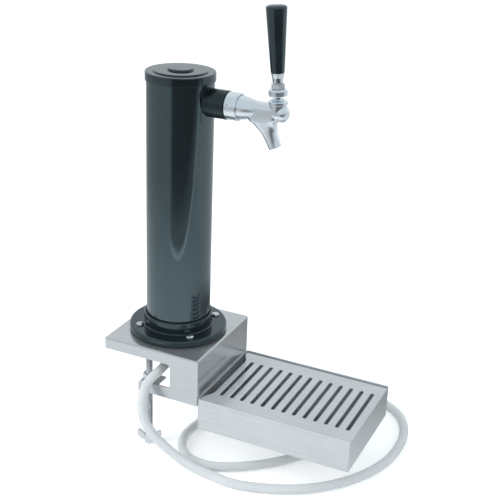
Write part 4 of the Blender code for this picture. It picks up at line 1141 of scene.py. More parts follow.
    def tail(self, place: Place) -> Piece:
        """The flanged tailpiece in the hose's end."""
        flange = GAP + self.tail_length
        face = flange + self.flange_thickness
        fillet = self.tail_round
        ring = [(self.tail_bore, GAP, fillet), (self.tail_radius, GAP, fillet)]
        ring += [(self.tail_radius, flange, 0.0), (self.flange_radius, flange, fillet)]
        ring += [(self.flange_radius, face, fillet), (self.tail_bore, face, 0.0)]
        return turned_ring("keg_tail", ring, place, self.fillet_steps, SMALL_SIDES)

    def nut(self, place: Place) -> Piece:
        """The union nut that hangs on the tailpiece's flange."""
        flange = GAP + self.tail_length
        low = flange - GAP - self.nut_lip
        high = flange + self.flange_thickness + self.nut_reach
        bores = (self.flange_radius + GAP, self.tail_radius + GAP)
        shape = HexNut(self.nut_flats, low, high, *bores, self.nut_lip)
        return make_object("keg_union_nut", [shape.surface().at(place)])

    def build(self, finishes: Finishes, frame: dict, box: Array) -> None:
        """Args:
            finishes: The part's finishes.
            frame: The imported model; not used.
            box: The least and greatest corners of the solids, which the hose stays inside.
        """
        line = np.clip(self.line(), box[0] + self.radius, box[1] - self.radius)
        hose = make_object("hose_tube", [self.tube(line)], self.crease)
        settle(hose, finishes.vinyl, Body.TOWER, Slot.HOSE, "beer_hose")
        place = self.end_place()
        band = settle(self.band(place), finishes.zinc, Body.TOWER, Slot.HARDWARE, "hose_clamp_lower")
        tail = settle(self.tail(place), finishes.zinc, Body.TOWER, Slot.HARDWARE, "keg_tailpiece")
        nut = settle(self.nut(place), finishes.zinc, Body.TOWER, Slot.HARDWARE, "keg_nut")


@dataclass
class Column:
    """The black column with its cap, flange, gasket and four flange bolts.

    In the profiles each corner is a radius, a height and a fillet.
    """

    radius: float = 0.0381
    wall: float = 0.0016
    foot: float = 0.0188
    top: float = 0.3253
    thin_round: float = 0.0004
    flange_radius: float = 0.0585
    flange_bottom: float = 0.0158
    flange_top: float = 0.0228
    flange_bore: float = 0.0310
    flange_round: float = 0.0026
    ledge_top: float = 0.0185
    collar_radius: float = 0.0413
    collar_top: float = 0.0375
    broad_round: float = 0.0012
    inner_round: float = 0.0006
    gasket_bottom: float = 0.0143
    gasket_top: float = 0.0155
    gasket_radius: float = 0.0570
    bolt_circle: float = 0.0475
    bolt_radius: float = 0.0024
    bolt_foot: float = 0.0057
    bolt_chamfer: float = 0.0004
    head_radius: float = 0.0046
    head_height: float = 0.0028
    head_edge: float = 0.0007
    head_points: int = 14
    cap_inner: float = 0.0384
    cap_outer: float = 0.0395
    cap_skirt: float = 0.3187
    cap_ceiling: float = 0.3256
    cap_rim: float = 0.3286
    step_radius: float = 0.0311
    step_top: float = 0.3300
    step_round: float = 0.0011
    step_root: float = 0.0002
    boss_radius: float = 0.0148
    boss_top: float = 0.3320
    boss_root: float = 0.0005
    fillet_steps: int = 8
    crease: float = 50.0

    def shell(self) -> Piece:
        """The column's tube."""
        inner = self.radius - self.wall
        ring = [(inner, self.foot, 0.0), (self.radius, self.foot, 0.0)]
        ring += [(self.radius, self.top, self.thin_round), (inner, self.top, self.thin_round)]
        return turned_ring("column_shell", ring, steps=3)

    def cap(self) -> Piece:
        """The stepped cap."""
        outline = [
            (0.0, self.boss_top, 0.0),
            (self.boss_radius, self.boss_top, self.broad_round),
            (self.boss_radius, self.step_top, self.boss_root),
            (self.step_radius, self.step_top, self.step_round),
            (self.step_radius, self.cap_rim, self.step_root),
            (self.cap_outer, self.cap_rim, self.broad_round),
            (self.cap_outer, self.cap_skirt, self.thin_round),
            (self.cap_inner, self.cap_skirt, self.step_root),
            (self.cap_inner, self.cap_ceiling, self.inner_round),
            (0.0, self.cap_ceiling, 0.0),
        ]
        return turned_ring("cap_shell", outline, steps=self.fillet_steps, closed=False, crease=self.crease)

    def flange(self) -> Piece:
        """The flange with the collar that the column stands in."""
        ring = [
            (self.flange_bore, self.flange_bottom, 0.0),
            (self.flange_radius, self.flange_bottom, self.inner_round),
            (self.flange_radius, self.flange_top, self.flange_round),
            (self.collar_radius, self.flange_top, self.broad_round),
            (self.collar_radius, self.collar_top, self.broad_round),
            (self.cap_inner, self.collar_top, self.inner_round),
            (self.cap_inner, self.ledge_top, 0.0),
            (self.flange_bore, self.ledge_top, 0.0),
        ]
        return turned_ring("flange_ring", ring, steps=self.fillet_steps, crease=self.crease)

    def gasket(self) -> Piece:
        """The gasket under the flange."""
        ring = [(self.flange_bore, self.gasket_bottom, 0.0)]
        ring += [(self.gasket_radius, self.gasket_bottom, self.thin_round)]
        ring += [(self.gasket_radius, self.gasket_top, self.thin_round)]
        ring += [(self.flange_bore, self.gasket_top, 0.0)]
        return turned_ring("gasket_ring", ring, steps=4)

    def bolt(self, number: int, x: float, y: float) -> Piece:
        """One flange bolt, whose head is a quarter of an ellipse over a short straight edge."""
        low = self.flange_top + GAP
        top = low + self.head_height
        share = np.linspace(0, math.pi / 2, self.head_points)
        rise = low + self.head_edge + (top - low - self.head_edge) * np.cos(share)
        dome = np.column_stack([self.head_radius * np.sin(share), rise])
        foot = self.bolt_foot
        end = self.bolt_radius - self.bolt_chamfer
        shaft = [(self.head_radius, low), (self.bolt_radius, low)]
        shaft += [(self.bolt_radius, foot + self.bolt_chamfer), (end, foot), (0.0, foot)]
        return turned_solid(f"flange_bolt_{number}", np.vstack([dome, shaft]), Place((x, y, 0.0)))

    def build(self, finishes: Finishes) -> None:
        """Makes the column's pieces."""
        settle(self.shell(), finishes.coat, Body.TOWER, Slot.COAT, "column_tube")
        settle(self.cap(), finishes.cap, Body.CAP, Slot.COAT, "top_cap")
        settle(self.flange(), finishes.flange, Body.TOWER, Slot.COAT, "base_flange")
        settle(self.gasket(), finishes.rubber, Body.TOWER, Slot.RUBBER, "flange_gasket")
        reach = self.bolt_circle / math.sqrt(2)
        places = ((reach, -reach), (reach, reach), (-reach, reach), (-reach, -reach))
        for number, (x, y) in enumerate(places, 1):
            bolt = self.bolt(number, x, y)
            settle(bolt, finishes.zinc, Body.TOWER, Slot.HARDWARE, f"flange_screw_{number}")


@dataclass
class Faucet:
    """The shank sleeve, the coupling nut, the faucet body and its lever.

    Each of the spout's stations is a place forward and a height, a tilt in degrees, half the
    length and half the width, and the power of the superellipse that joins them.
    """

    axis_z: float = 0.298
    column_reach: float = 0.0384
    sleeve_bore: float = 0.0113
    sleeve_radius: float = 0.0160
    sleeve_front: float = 0.0600
    sleeve_edge: float = 0.0006
    coupling_back: float = 0.0603
    coupling_front: float = 0.0742
    coupling_radius: float = 0.0153
    coupling_chamber: float = 0.0133
    coupling_lip: float = 0.0627
    coupling_round: float = 0.0009
    mouth_round: float = 0.0003
    spanner_x: float = 0.0651
    spanner_radius: float = 0.0019
    spanner_depth: float = 0.0013
    spanner_reach: float = 0.006
    spanner_count: int = 4
    spanner_sides: int = 32
    spanner_turn: float = math.radians(-104)
    body_back: float = 0.0682
    head_radius: float = 0.0130
    collar_end: float = 0.0061
    neck_end: float = 0.0303
    neck_points: int = 24
    waist: float = 0.0095
    nose_radius: float = 0.0095
    nose_start: float = 0.0558
    nose_length: float = 0.0070
    nose_points: int = 16
    spout_rows: int = 60
    spout_bore: float = 0.0046
    spout_tilt: float = math.radians(25)
    outlet_span: Span = (-0.005, 0.037)
    bore: tuple[Span, ...] = (
        (0.0, -0.002), (0.0082, -0.002), (0.0082, 0.0131), (0.0048, 0.0131),
        (0.0048, 0.0164), (0.0056, 0.0164), (0.0056, 0.0578), (0.0, 0.0578),
    )
    socket_wall: float = 0.0035
    socket_step: float = 0.0012
    socket_foot: float = -0.0021
    socket_shoulder: float = 0.0017
    socket_drop: float = 0.0005
    voxel: float = 0.0004
    blend_start: float = 0.0075
    blend_run: float = 0.004
    blend_top: float = 0.006
    blend_fall: float = 0.002
    blend_least: float = 0.15
    blend_rounds: int = 70
    cast_crease: float = 40.0
    ball_seat: float = 0.0041
    mouth_rise: float = 0.005
    tail_room: float = 0.0044
    slot_length: float = 0.0056
    slot_half: float = 0.0026
    slot_ease: float = 0.0001
    lever_reach: float = 0.0498
    pivot_height: float = 0.0115
    lean: float = math.radians(-4)
    ball_radius: float = 0.0055
    ball_points: int = 24
    stem_radius: float = 0.0030
    stem_length: float = 0.041
    tail_radius: float = 0.0020
    tail_length: float = 0.0115
    tail_ball: float = 0.0022
    tip_points: int = 12
    lever_crease: float = 45.0
    washer_height: float = 0.002
    bonnet_crown: float = 0.0011
    bonnet_room: float = 0.0023
    bonnet_wall: float = 0.0019
    bonnet_crest: float = 0.0076
    collar_radius: float = 0.0103
    collar_span: Span = (0.0069, 0.0145)
    collar_rounds: Span = (0.0012, 0.0022)
    jam_flats: float = 0.0136
    jam_span: Span = (0.0148, 0.0205)
    jam_chamfer: float = 0.93
    jam_turn: float = math.radians(30)
    ferrule_side: tuple[Triple, ...] = (
        (0.0055, 0.0208, 0.0004), (0.0061, 0.0262, 0.006), (0.0074, 0.0315, 0.0003),
    )
    grip_span: Span = (0.0318, 0.0980)
    grip_radii: Span = (0.0074, 0.0112)
    grip_chamfer: float = 0.0004
    grip_points: int = 16
    grip_dome: float = 0.0038
    dome_power: float = 0.65
    dome_points: int = 28
    spout: tuple[tuple[float, ...], ...] = (
        (0.0355, 0.0040, 1.0, 0.0190, 0.0097, 4.0),
        (0.0355, -0.0050, 3.0, 0.0185, 0.0096, 4.0),
        (0.0355, -0.0098, 6.0, 0.0174, 0.0093, 4.0),
        (0.0367, -0.0122, 9.0, 0.0138, 0.0090, 3.6),
        (0.0384, -0.0165, 13.8, 0.0107, 0.0084, 3.2),
        (0.0414, -0.0221, 18.1, 0.0085, 0.0077, 2.7),
        (0.0457, -0.0316, 18.7, 0.0075, 0.0072, 2.2),
        (0.0491, -0.0389, 26.6, 0.00715, 0.00715, 2.0),
    )

    def sleeve(self) -> Piece:
        """The sleeve, whose back end follows the column.

        At angle a and radius r the back end lies at the square root of the column's radius squared
        less (r sin a) squared.

        Returns:
            The sleeve.
        """
        angles = full_turn(ROUND_SIDES)
        front = self.sleeve_front
        edge = self.sleeve_edge

        def back_ring(radius: float) -> Array:
            """One ring of the sleeve, against the column."""
            across = radius * np.sin(angles)
            return round_points(radius, angles, np.sqrt(self.column_reach ** 2 - across ** 2))

        rings = [back_ring(self.sleeve_bore), back_ring(self.sleeve_radius)]
        rings += [round_points(self.sleeve_radius, angles, front - edge)]
        rings += [round_points(self.sleeve_radius - edge, angles, front)]
        rings += [round_points(self.sleeve_bore, angles, front)]
        surface = Surface.woven(np.stack(rings), closed_rows=True)
        return make_object("sleeve_ring", [surface.at(along_x(self.axis_z))])

    def coupling(self) -> Piece:
        """The coupling nut with the spanner's holes round it."""
        radius = self.coupling_radius
        ring = [
            (self.sleeve_bore, self.coupling_back, 0.0),
            (radius, self.coupling_back, self.coupling_round),
            (radius, self.coupling_front, self.coupling_round),
            (self.coupling_chamber, self.coupling_front, self.mouth_round),
            (self.coupling_chamber, self.coupling_lip, 0.0),
            (self.sleeve_bore, self.coupling_lip, 0.0),
        ]
        nut = turned_ring("coupling_ring", ring, along_x(self.axis_z), steps=5)
        size, reach = self.spanner_radius, self.spanner_reach
        profile = [(0.0, 0.0), (size, 0.0), (size, reach), (0.0, reach)]
        holes = []
        for number in range(self.spanner_count):
            turn = self.spanner_turn + number * 2 * math.pi / self.spanner_count
            out = np.array([0.0, math.sin(turn), -math.cos(turn)])
            side = np.cross(out, (1.0, 0.0, 0.0))
            start = np.array([self.spanner_x, 0.0, self.axis_z]) + out * (radius - self.spanner_depth)
            where = Place(tuple(start), ((1.0, 0.0, 0.0), tuple(side), tuple(out)))
            holes.append(turned_solid(f"spanner_hole_{number}", profile, where, self.spanner_sides))
        combine(nut, holes, "DIFFERENCE")
        return nut

    def barrel(self) -> Array:
        """The body's turned outline: threaded collar, ogee neck, waist and rounded nose.

        The neck's radius falls from the head's to the waist's by half a cosine, and the nose is a
        quarter of an ellipse.

        Returns:
            Radius and place forward, one point per row.
        """
        share = np.linspace(0, 1, self.neck_points)
        swell = (1 + np.cos(math.pi * share)) / 2
        radius = self.waist + (self.head_radius - self.waist) * swell
        neck = np.column_stack([radius, self.collar_end + (self.neck_end - self.collar_end) * share])
        turn = np.linspace(0, math.pi / 2, self.nose_points)
        ahead = self.nose_start + self.nose_length * np.sin(turn)
        nose = np.column_stack([self.nose_radius * np.cos(turn), ahead])
        nose[-1, 0] = 0.0
        return np.vstack([[(0.0, 0.0), (self.head_radius, 0.0)], neck, nose])

    def spout_surface(self) -> Surface:
        """The spout: a superellipse carried through its stations, which are joined by smooth curves.

        At angle a the point lies along by half the length times the cosine, and across by half the
        width times the sine, each raised to two over the station's power with its sign kept.

        Returns:
            The spout about the body's middle.
        """
        table = np.array(self.spout)
        knots = np.arange(len(table))
        fine = np.linspace(0, len(table) - 1, self.spout_rows)
        values = np.stack([smooth_curve(knots, column, fine) for column in table.T])
        forward, height, tilt, half_length, half_width, power = values[:, :, None]
        angles = full_turn(SMALL_SIDES)
        lean = np.radians(tilt)
        cosine, sine = np.cos(angles), np.sin(angles)
        along = half_length * np.sign(cosine) * np.abs(cosine) ** (2 / power)
        across = half_width * np.sign(sine) * np.abs(sine) ** (2 / power)
        grid = np.stack([forward + along * np.cos(lean), across, height + along * np.sin(lean)], axis=-1)
        ends = [np.broadcast_to(row.mean(axis=0), row.shape)[None] for row in (grid[0], grid[-1])]
        return Surface.woven(np.concatenate([ends[0], grid, ends[1]]))

    def socket_place(self) -> Place:
        """The frame of the lever's socket, upright on the body's axis."""
        return Place((self.body_back + self.lever_reach, 0.0, self.axis_z))

    def casting(self) -> Piece:
        """Barrel, spout and lever socket joined, and blended into one."""
        middle = Place((self.body_back, 0.0, self.axis_z))
        ahead = along_x(self.axis_z, self.body_back)
        cast = turned_solid("faucet_casting", self.barrel(), ahead, ROUND_SIDES)
        spout = make_object("spout_shape", [self.spout_surface().at(middle)])
        outer = self.ball_radius + 2 * GAP + self.socket_wall
        ring = outer - self.socket_step
        shoulder = self.pivot_height - self.socket_shoulder
        top = self.pivot_height - self.socket_drop
        profile = [(0.0, self.socket_foot), (outer, self.socket_foot), (outer, shoulder)]
        profile += [(ring, shoulder), (ring, top), (0.0, top)]
        socket = turned_solid("socket_shape", profile, self.socket_place())
        combine(cast, [spout, socket], "UNION")
        remesh = cast.modifiers.new("cast", "REMESH")
        remesh.mode = "VOXEL"
        remesh.voxel_size = self.voxel
        bake_modifiers(cast)
        forward, _, height = (points_of(cast.data) - np.array(middle.origin)).T
        front = np.clip((forward - self.blend_start) / self.blend_run, 0, 1)
        below = np.clip((self.blend_top - height) / self.blend_fall, self.blend_least, 1)
        relax(cast.data, front * below, self.blend_rounds)
        return cast

    def outlet(self) -> Piece:
        """The shape of the spout's bore."""
        tip = self.spout[-1]
        cosine, sine = math.cos(self.spout_tilt), math.sin(self.spout_tilt)
        axes = ((cosine, 0.0, sine), (0, 1, 0), (-sine, 0.0, cosine))
        place = Place((self.body_back + tip[0], 0.0, self.axis_z + tip[1]), axes)
        low, high = self.outlet_span
        profile = [(0.0, low), (self.spout_bore, low), (self.spout_bore, high), (0.0, high)]
        return turned_solid("outlet_shape", profile, place, BORE_SIDES)

    def body(self) -> Piece:
        """The casting with its bore, the ball's hollow, the tail's slot and the outlet cut out."""
        cast = self.casting()
        place = self.socket_place()
        bore = turned_solid("bore_shape", self.bore, along_x(self.axis_z, self.body_back), BORE_SIDES)
        mouth = self.ball_radius + 2 * GAP
        seat = self.pivot_height - self.ball_seat
        top = self.pivot_height + self.mouth_rise
        profile = [(0.0, GAP), (self.tail_room, GAP), (self.tail_room, seat)]
        profile += [(mouth, seat), (mouth, top), (0.0, top)]
        hollow = turned_solid("hollow_shape", profile, place, BORE_SIDES)
        back, half = -self.slot_length, self.slot_half
        corners = np.array([(back, -half), (0.0, -half), (0.0, half), (back, half)])
        flat = slab(corners, 2 * GAP, seat + 2 * GAP, self.slot_ease)
        slot = make_object("slot_shape", [flat.at(place)])
        combine(cast, [bore, hollow, slot, self.outlet()], "DIFFERENCE", self.cast_crease)
        return cast

    def lever_place(self) -> Place:
        """The lever's frame at its ball, leaning back."""
        cosine, sine = math.cos(self.lean), math.sin(self.lean)
        origin = (self.body_back + self.lever_reach, 0.0, self.axis_z + self.pivot_height)
        return Place(origin, ((cosine, 0.0, -sine), (0.0, 1.0, 0.0), (sine, 0.0, cosine)))

    def bonnet(self) -> Piece:
        """The bonnet that holds the ball down."""
        fit = self.ball_radius + GAP
        under = GAP - self.socket_drop + self.washer_height + GAP
        top = under + self.bonnet_crown
        mouth = math.sqrt(fit ** 2 - under ** 2) + GAP
        skirt = GAP - self.socket_shoulder
        inner = fit + self.bonnet_room + 2 * GAP
        outer = inner + self.bonnet_wall
        ring = [
            (outer, skirt, 0.0003),
            (outer, top - self.bonnet_wall, 0.0007),
            (self.bonnet_crest, top, 0.0005),
            (mouth + GAP, top, 0.0002),
            (mouth, under, 0.0),
            (inner, under, 0.0),
            (inner, skirt, 0.0),
        ]
        return turned_ring("bonnet_cap", ring, Place(self.lever_place().origin), steps=4)

    def lever(self) -> Piece:
        """The lever: tail, ball and stem turned as one."""
        meet = math.asin(self.stem_radius / self.ball_radius)
        tail_meet = math.asin(self.tail_radius / self.ball_radius)
        tip_meet = math.acos(self.tail_radius / self.tail_ball)
        ball = np.linspace(math.pi / 2 - meet, tail_meet - math.pi / 2, self.ball_points)
        tip = np.linspace(tip_meet, -math.pi / 2, self.tip_points)
        stem = np.array([(0.0, self.stem_length), (self.stem_radius, self.stem_length)])
        ball = self.ball_radius * np.column_stack([np.cos(ball), np.sin(ball)])
        tip = self.tail_ball * np.column_stack([np.cos(tip), np.sin(tip)]) - (0.0, self.tail_length)
        tip[-1, 0] = 0.0
        profile = np.vstack([stem, ball, tip])
        return turned_solid("lever_rod", profile, self.lever_place(), crease=self.lever_crease)

    def lever_collar(self) -> Piece:
        """The domed collar on the lever's stem."""
        bore = self.stem_radius + GAP
        low, high = self.collar_span
        foot_round, top_round = self.collar_rounds
        ring = [(bore, low, 0.0), (self.collar_radius, low, foot_round)]
        ring += [(self.collar_radius, high, top_round), (bore, high, 0.0)]
        return turned_ring("collar_ring", ring, self.lever_place(), steps=8)

    def lock_nut(self) -> Piece:
        """The nut between the collar and the ferrule."""
        bore = self.stem_radius + GAP
        shape = HexNut(self.jam_flats, *self.jam_span, bore, chamfer=self.jam_chamfer, turn=self.jam_turn)
        return make_object("lever_lock_nut", [shape.surface().at(self.lever_place())])

    def ferrule(self) -> Piece:
        """The flared ferrule under the handle."""
        bore = self.stem_radius + GAP
        low, high = self.ferrule_side[0][1], self.ferrule_side[-1][1]
        ring = [(bore, low, 0.0), *self.ferrule_side, (bore, high, 0.0)]
        return turned_ring("ferrule_cone", ring, self.lever_place())

    def handle(self) -> Piece:
        """The tapered handle, whose top is nearly flat with a rounded rim.

        The top is a quarter of a superellipse: the radius times the cosine, and the dome's height
        times the sine, each raised to the dome's power.

        Returns:
            The handle.
        """
        bore = self.stem_radius + GAP
        depth = self.stem_length + GAP
        low, high = self.grip_span
        least, most = self.grip_radii
        share = np.linspace(0, 1, self.grip_points)
        side = np.column_stack([least + (most - least) * share, low + (high - low) * share])
        side[0] = (least, low + self.grip_chamfer)
        turn = np.linspace(0, math.pi / 2, self.dome_points)[1:]
        rise = high + self.grip_dome * np.sin(turn) ** self.dome_power
        top = np.column_stack([most * np.cos(turn) ** self.dome_power, rise])
        top[-1, 0] = 0.0
        foot = [(0.0, depth), (bore, depth), (bore, low), (least - self.grip_chamfer, low)]
        profile = np.vstack([foot, side, top])
        return turned_solid("handle_grip", profile, self.lever_place(), ROUND_SIDES, self.cast_crease)

    def build(self, finishes: Finishes) -> None:
        """Makes the faucet's pieces."""
        settle(self.sleeve(), finishes.sleeve, Body.TOWER, Slot.COAT, "shank_sleeve")
        settle(self.coupling(), finishes.casting, Body.TOWER, Slot.CHROME, "coupling_nut")
        settle(self.body(), finishes.casting, Body.TOWER, Slot.CHROME, "faucet_body")
        settle(self.bonnet(), finishes.casting, Body.TOWER, Slot.CHROME, "lever_bonnet")
        settle(self.lever(), finishes.chrome, Body.LEVER, Slot.CHROME, "tap_lever")
        settle(self.lever_collar(), finishes.casting, Body.LEVER, Slot.CHROME, "lever_collar")
        settle(self.lock_nut(), finishes.casting, Body.LEVER, Slot.CHROME, "lever_jam_nut")
        settle(self.ferrule(), finishes.chrome, Body.LEVER, Slot.CHROME, "handle_ferrule")
        settle(self.handle(), finishes.handle, Body.LEVER, Slot.HANDLE, "tap_handle")


@dataclass
class Clamp:
    """One table clamp: weld nut, threaded stud, pressure pad and wing."""

    label: str
    side: int
    screw_body: Body
    pad_body: Body
    axis_x: float = -0.008
    axis_y: float = 0.056
    stud_radius: float = 0.0040
    neck_radius: float = 0.0030
    pitch: float = 0.00125
    thread_depth: float = 0.00062
    thread_sides: int = 24
    thread_rows: int = 6
    thread_slope: float = 1.35
    thread_flat: float = 0.12
    thread_crease: float = 50.0
    stud_foot: float = -0.118
    neck_foot: float = -0.0026
    stud_top: float = 0.0012
    pad_radius: float = 0.008
    pad_top: float = 0.004
    pad_foot: float = -0.0023
    pad_taper: float = 0.002
    pad_socket: float = 0.0038
    wing_foot: float = -0.121
    wing_height: float = 0.016
    hub_radius: float = 0.0062
    hub_band: float = 0.0056
    hub_neck: float = 0.55
    wing_span: float = 0.030
    wing_rise: float = 0.0112
    wing_round: float = 0.0026
    wing_thickness: float = 0.0036
    wing_ease: float = 0.0008
    wing_shares: Triple = (0.74, 0.92, 0.66)
    wing_turn: float = math.radians(20)
    nut_flats: float = 0.013
    nut_span: Span = (-0.031, -0.0245)

    def place(self, turn: float = 0.0) -> Place:
        """The stud's frame, turned about its axis."""
        cosine, sine = math.cos(turn), math.sin(turn)
        axes = ((cosine, sine, 0.0), (-sine, cosine, 0.0), (0.0, 0.0, 1.0))
        return Place((self.axis_x, self.side * self.axis_y, 0.0), axes)

    def stud(self) -> Piece:
        """The threaded stud.

        The radius falls from the crest by the thread's depth times a triangle wave of the height
        over the pitch less the angle's share of a turn, so the wave climbs one pitch a turn.

        Returns:
            The stud.
        """
        angles = full_turn(self.thread_sides)
        rows = int((self.neck_foot - self.stud_foot) / self.pitch) * self.thread_rows
        height = np.linspace(self.stud_foot, self.neck_foot, rows)[:, None]
        phase = (height / self.pitch - angles / (2 * math.pi)) % 1.0
        wave = np.clip(np.abs(2 * phase - 1) * self.thread_slope - self.thread_flat, 0, 1)
        ends = np.minimum(height - self.stud_foot, self.neck_foot - height) / (2 * self.pitch)
        radius = self.stud_radius - self.thread_depth * np.maximum(wave, 1 - np.clip(ends, 0, 1))
        rings = [round_points(0.0, angles, self.stud_foot), *round_points(radius, angles, height)]
        rings += [round_points(self.neck_radius, angles, level) for level in (self.neck_foot, self.stud_top)]
        rings += [round_points(0.0, angles, self.stud_top)]
        surface = Surface.woven(np.stack(rings)).at(self.place())
        return make_object(f"clamp_stud_{self.label}", [surface], self.thread_crease)

    def pad(self) -> Piece:
        """The pressure pad on the stud's neck."""
        socket = self.neck_radius + GAP
        foot = self.pad_foot
        ceiling = foot + self.pad_socket
        path = [
            (0.0, self.pad_top, 0.0),
            (self.pad_radius, self.pad_top, 0.001),
            (self.pad_radius, foot + self.pad_taper, 0.0008),
            (self.pad_radius - self.pad_taper, foot, 0.0005),
            (socket, foot, 0.0),
            (socket, ceiling, 0.0),
            (0.0, ceiling, 0.0),
        ]
        return turned_ring(f"pad_disc_{self.label}", path, self.place(), 5, SMALL_SIDES, closed=False)

    def ear(self) -> Array:
        """The outline of one of the wing's ears."""
        top = self.wing_foot + self.wing_height
        root = (self.stud_radius + GAP + self.hub_radius) / 2
        under, crest, saddle = (self.wing_span / 2 * share for share in self.wing_shares)
        fillet = self.wing_round / 2
        corners = [
            (root, top - self.wing_rise - self.wing_round, 0.0),
            (under, top - self.wing_rise, fillet),
            (self.wing_span / 2, top - self.wing_rise / 2, fillet),
            (crest, top + fillet, fillet),
            (saddle, top, fillet),
            (root, top - self.wing_rise / 2, 0.0),
        ]
        return rounded_path(corners, True)

    def wing(self) -> Piece:
        """The wing: a turned hub joined to two rising ears."""
        bottom = self.wing_foot
        top = bottom + self.wing_height
        bore = self.stud_radius + GAP
        floor = self.stud_foot - GAP
        neck = bore + (self.hub_radius - bore) * self.hub_neck
        hub = [
            (0.0, bottom, 0.0),
            (self.hub_radius, bottom, 0.001),
            (self.hub_radius, bottom + self.hub_band, 0.003),
            (neck, top, 0.0004),
            (bore, top, 0.0),
            (bore, floor, 0.0),
            (0.0, floor, 0.0),
        ]
        place = self.place(self.wing_turn)
        made = turned_ring(f"wing_{self.label}", hub, place, sides=SMALL_SIDES, closed=False)
        half = self.wing_thickness / 2
        ears = []
        for hand in (1, -1):
            flat = slab(self.ear() * (hand, 1), -half, half, self.wing_ease)
            upright = Surface(flat.points[:, [0, 2, 1]], flat.quads)
            ears.append(make_object(f"ear_{self.label}_{hand}", [upright.at(place)]))
        combine(made, ears, "UNION")
        return made

    def weld_nut(self) -> Piece:
        """The nut on the bracket's tab."""
        shape = HexNut(self.nut_flats, *self.nut_span, self.stud_radius + GAP)
        return make_object(f"weld_nut_{self.label}", [shape.surface().at(self.place())])

    def build(self, finishes: Finishes) -> None:
        """Makes the clamp's pieces."""
        settle(self.stud(), finishes.zinc, self.screw_body, Slot.HARDWARE, f"clamp_screw_{self.label}")
        settle(self.wing(), finishes.zinc, self.screw_body, Slot.HARDWARE, f"wing_handle_{self.label}")
        settle(self.pad(), finishes.rubber, self.pad_body, Slot.RUBBER, f"clamp_pad_{self.label}")
        settle(self.weld_nut(), finishes.zinc, Body.TOWER, Slot.HARDWARE, f"clamp_nut_{self.label}")


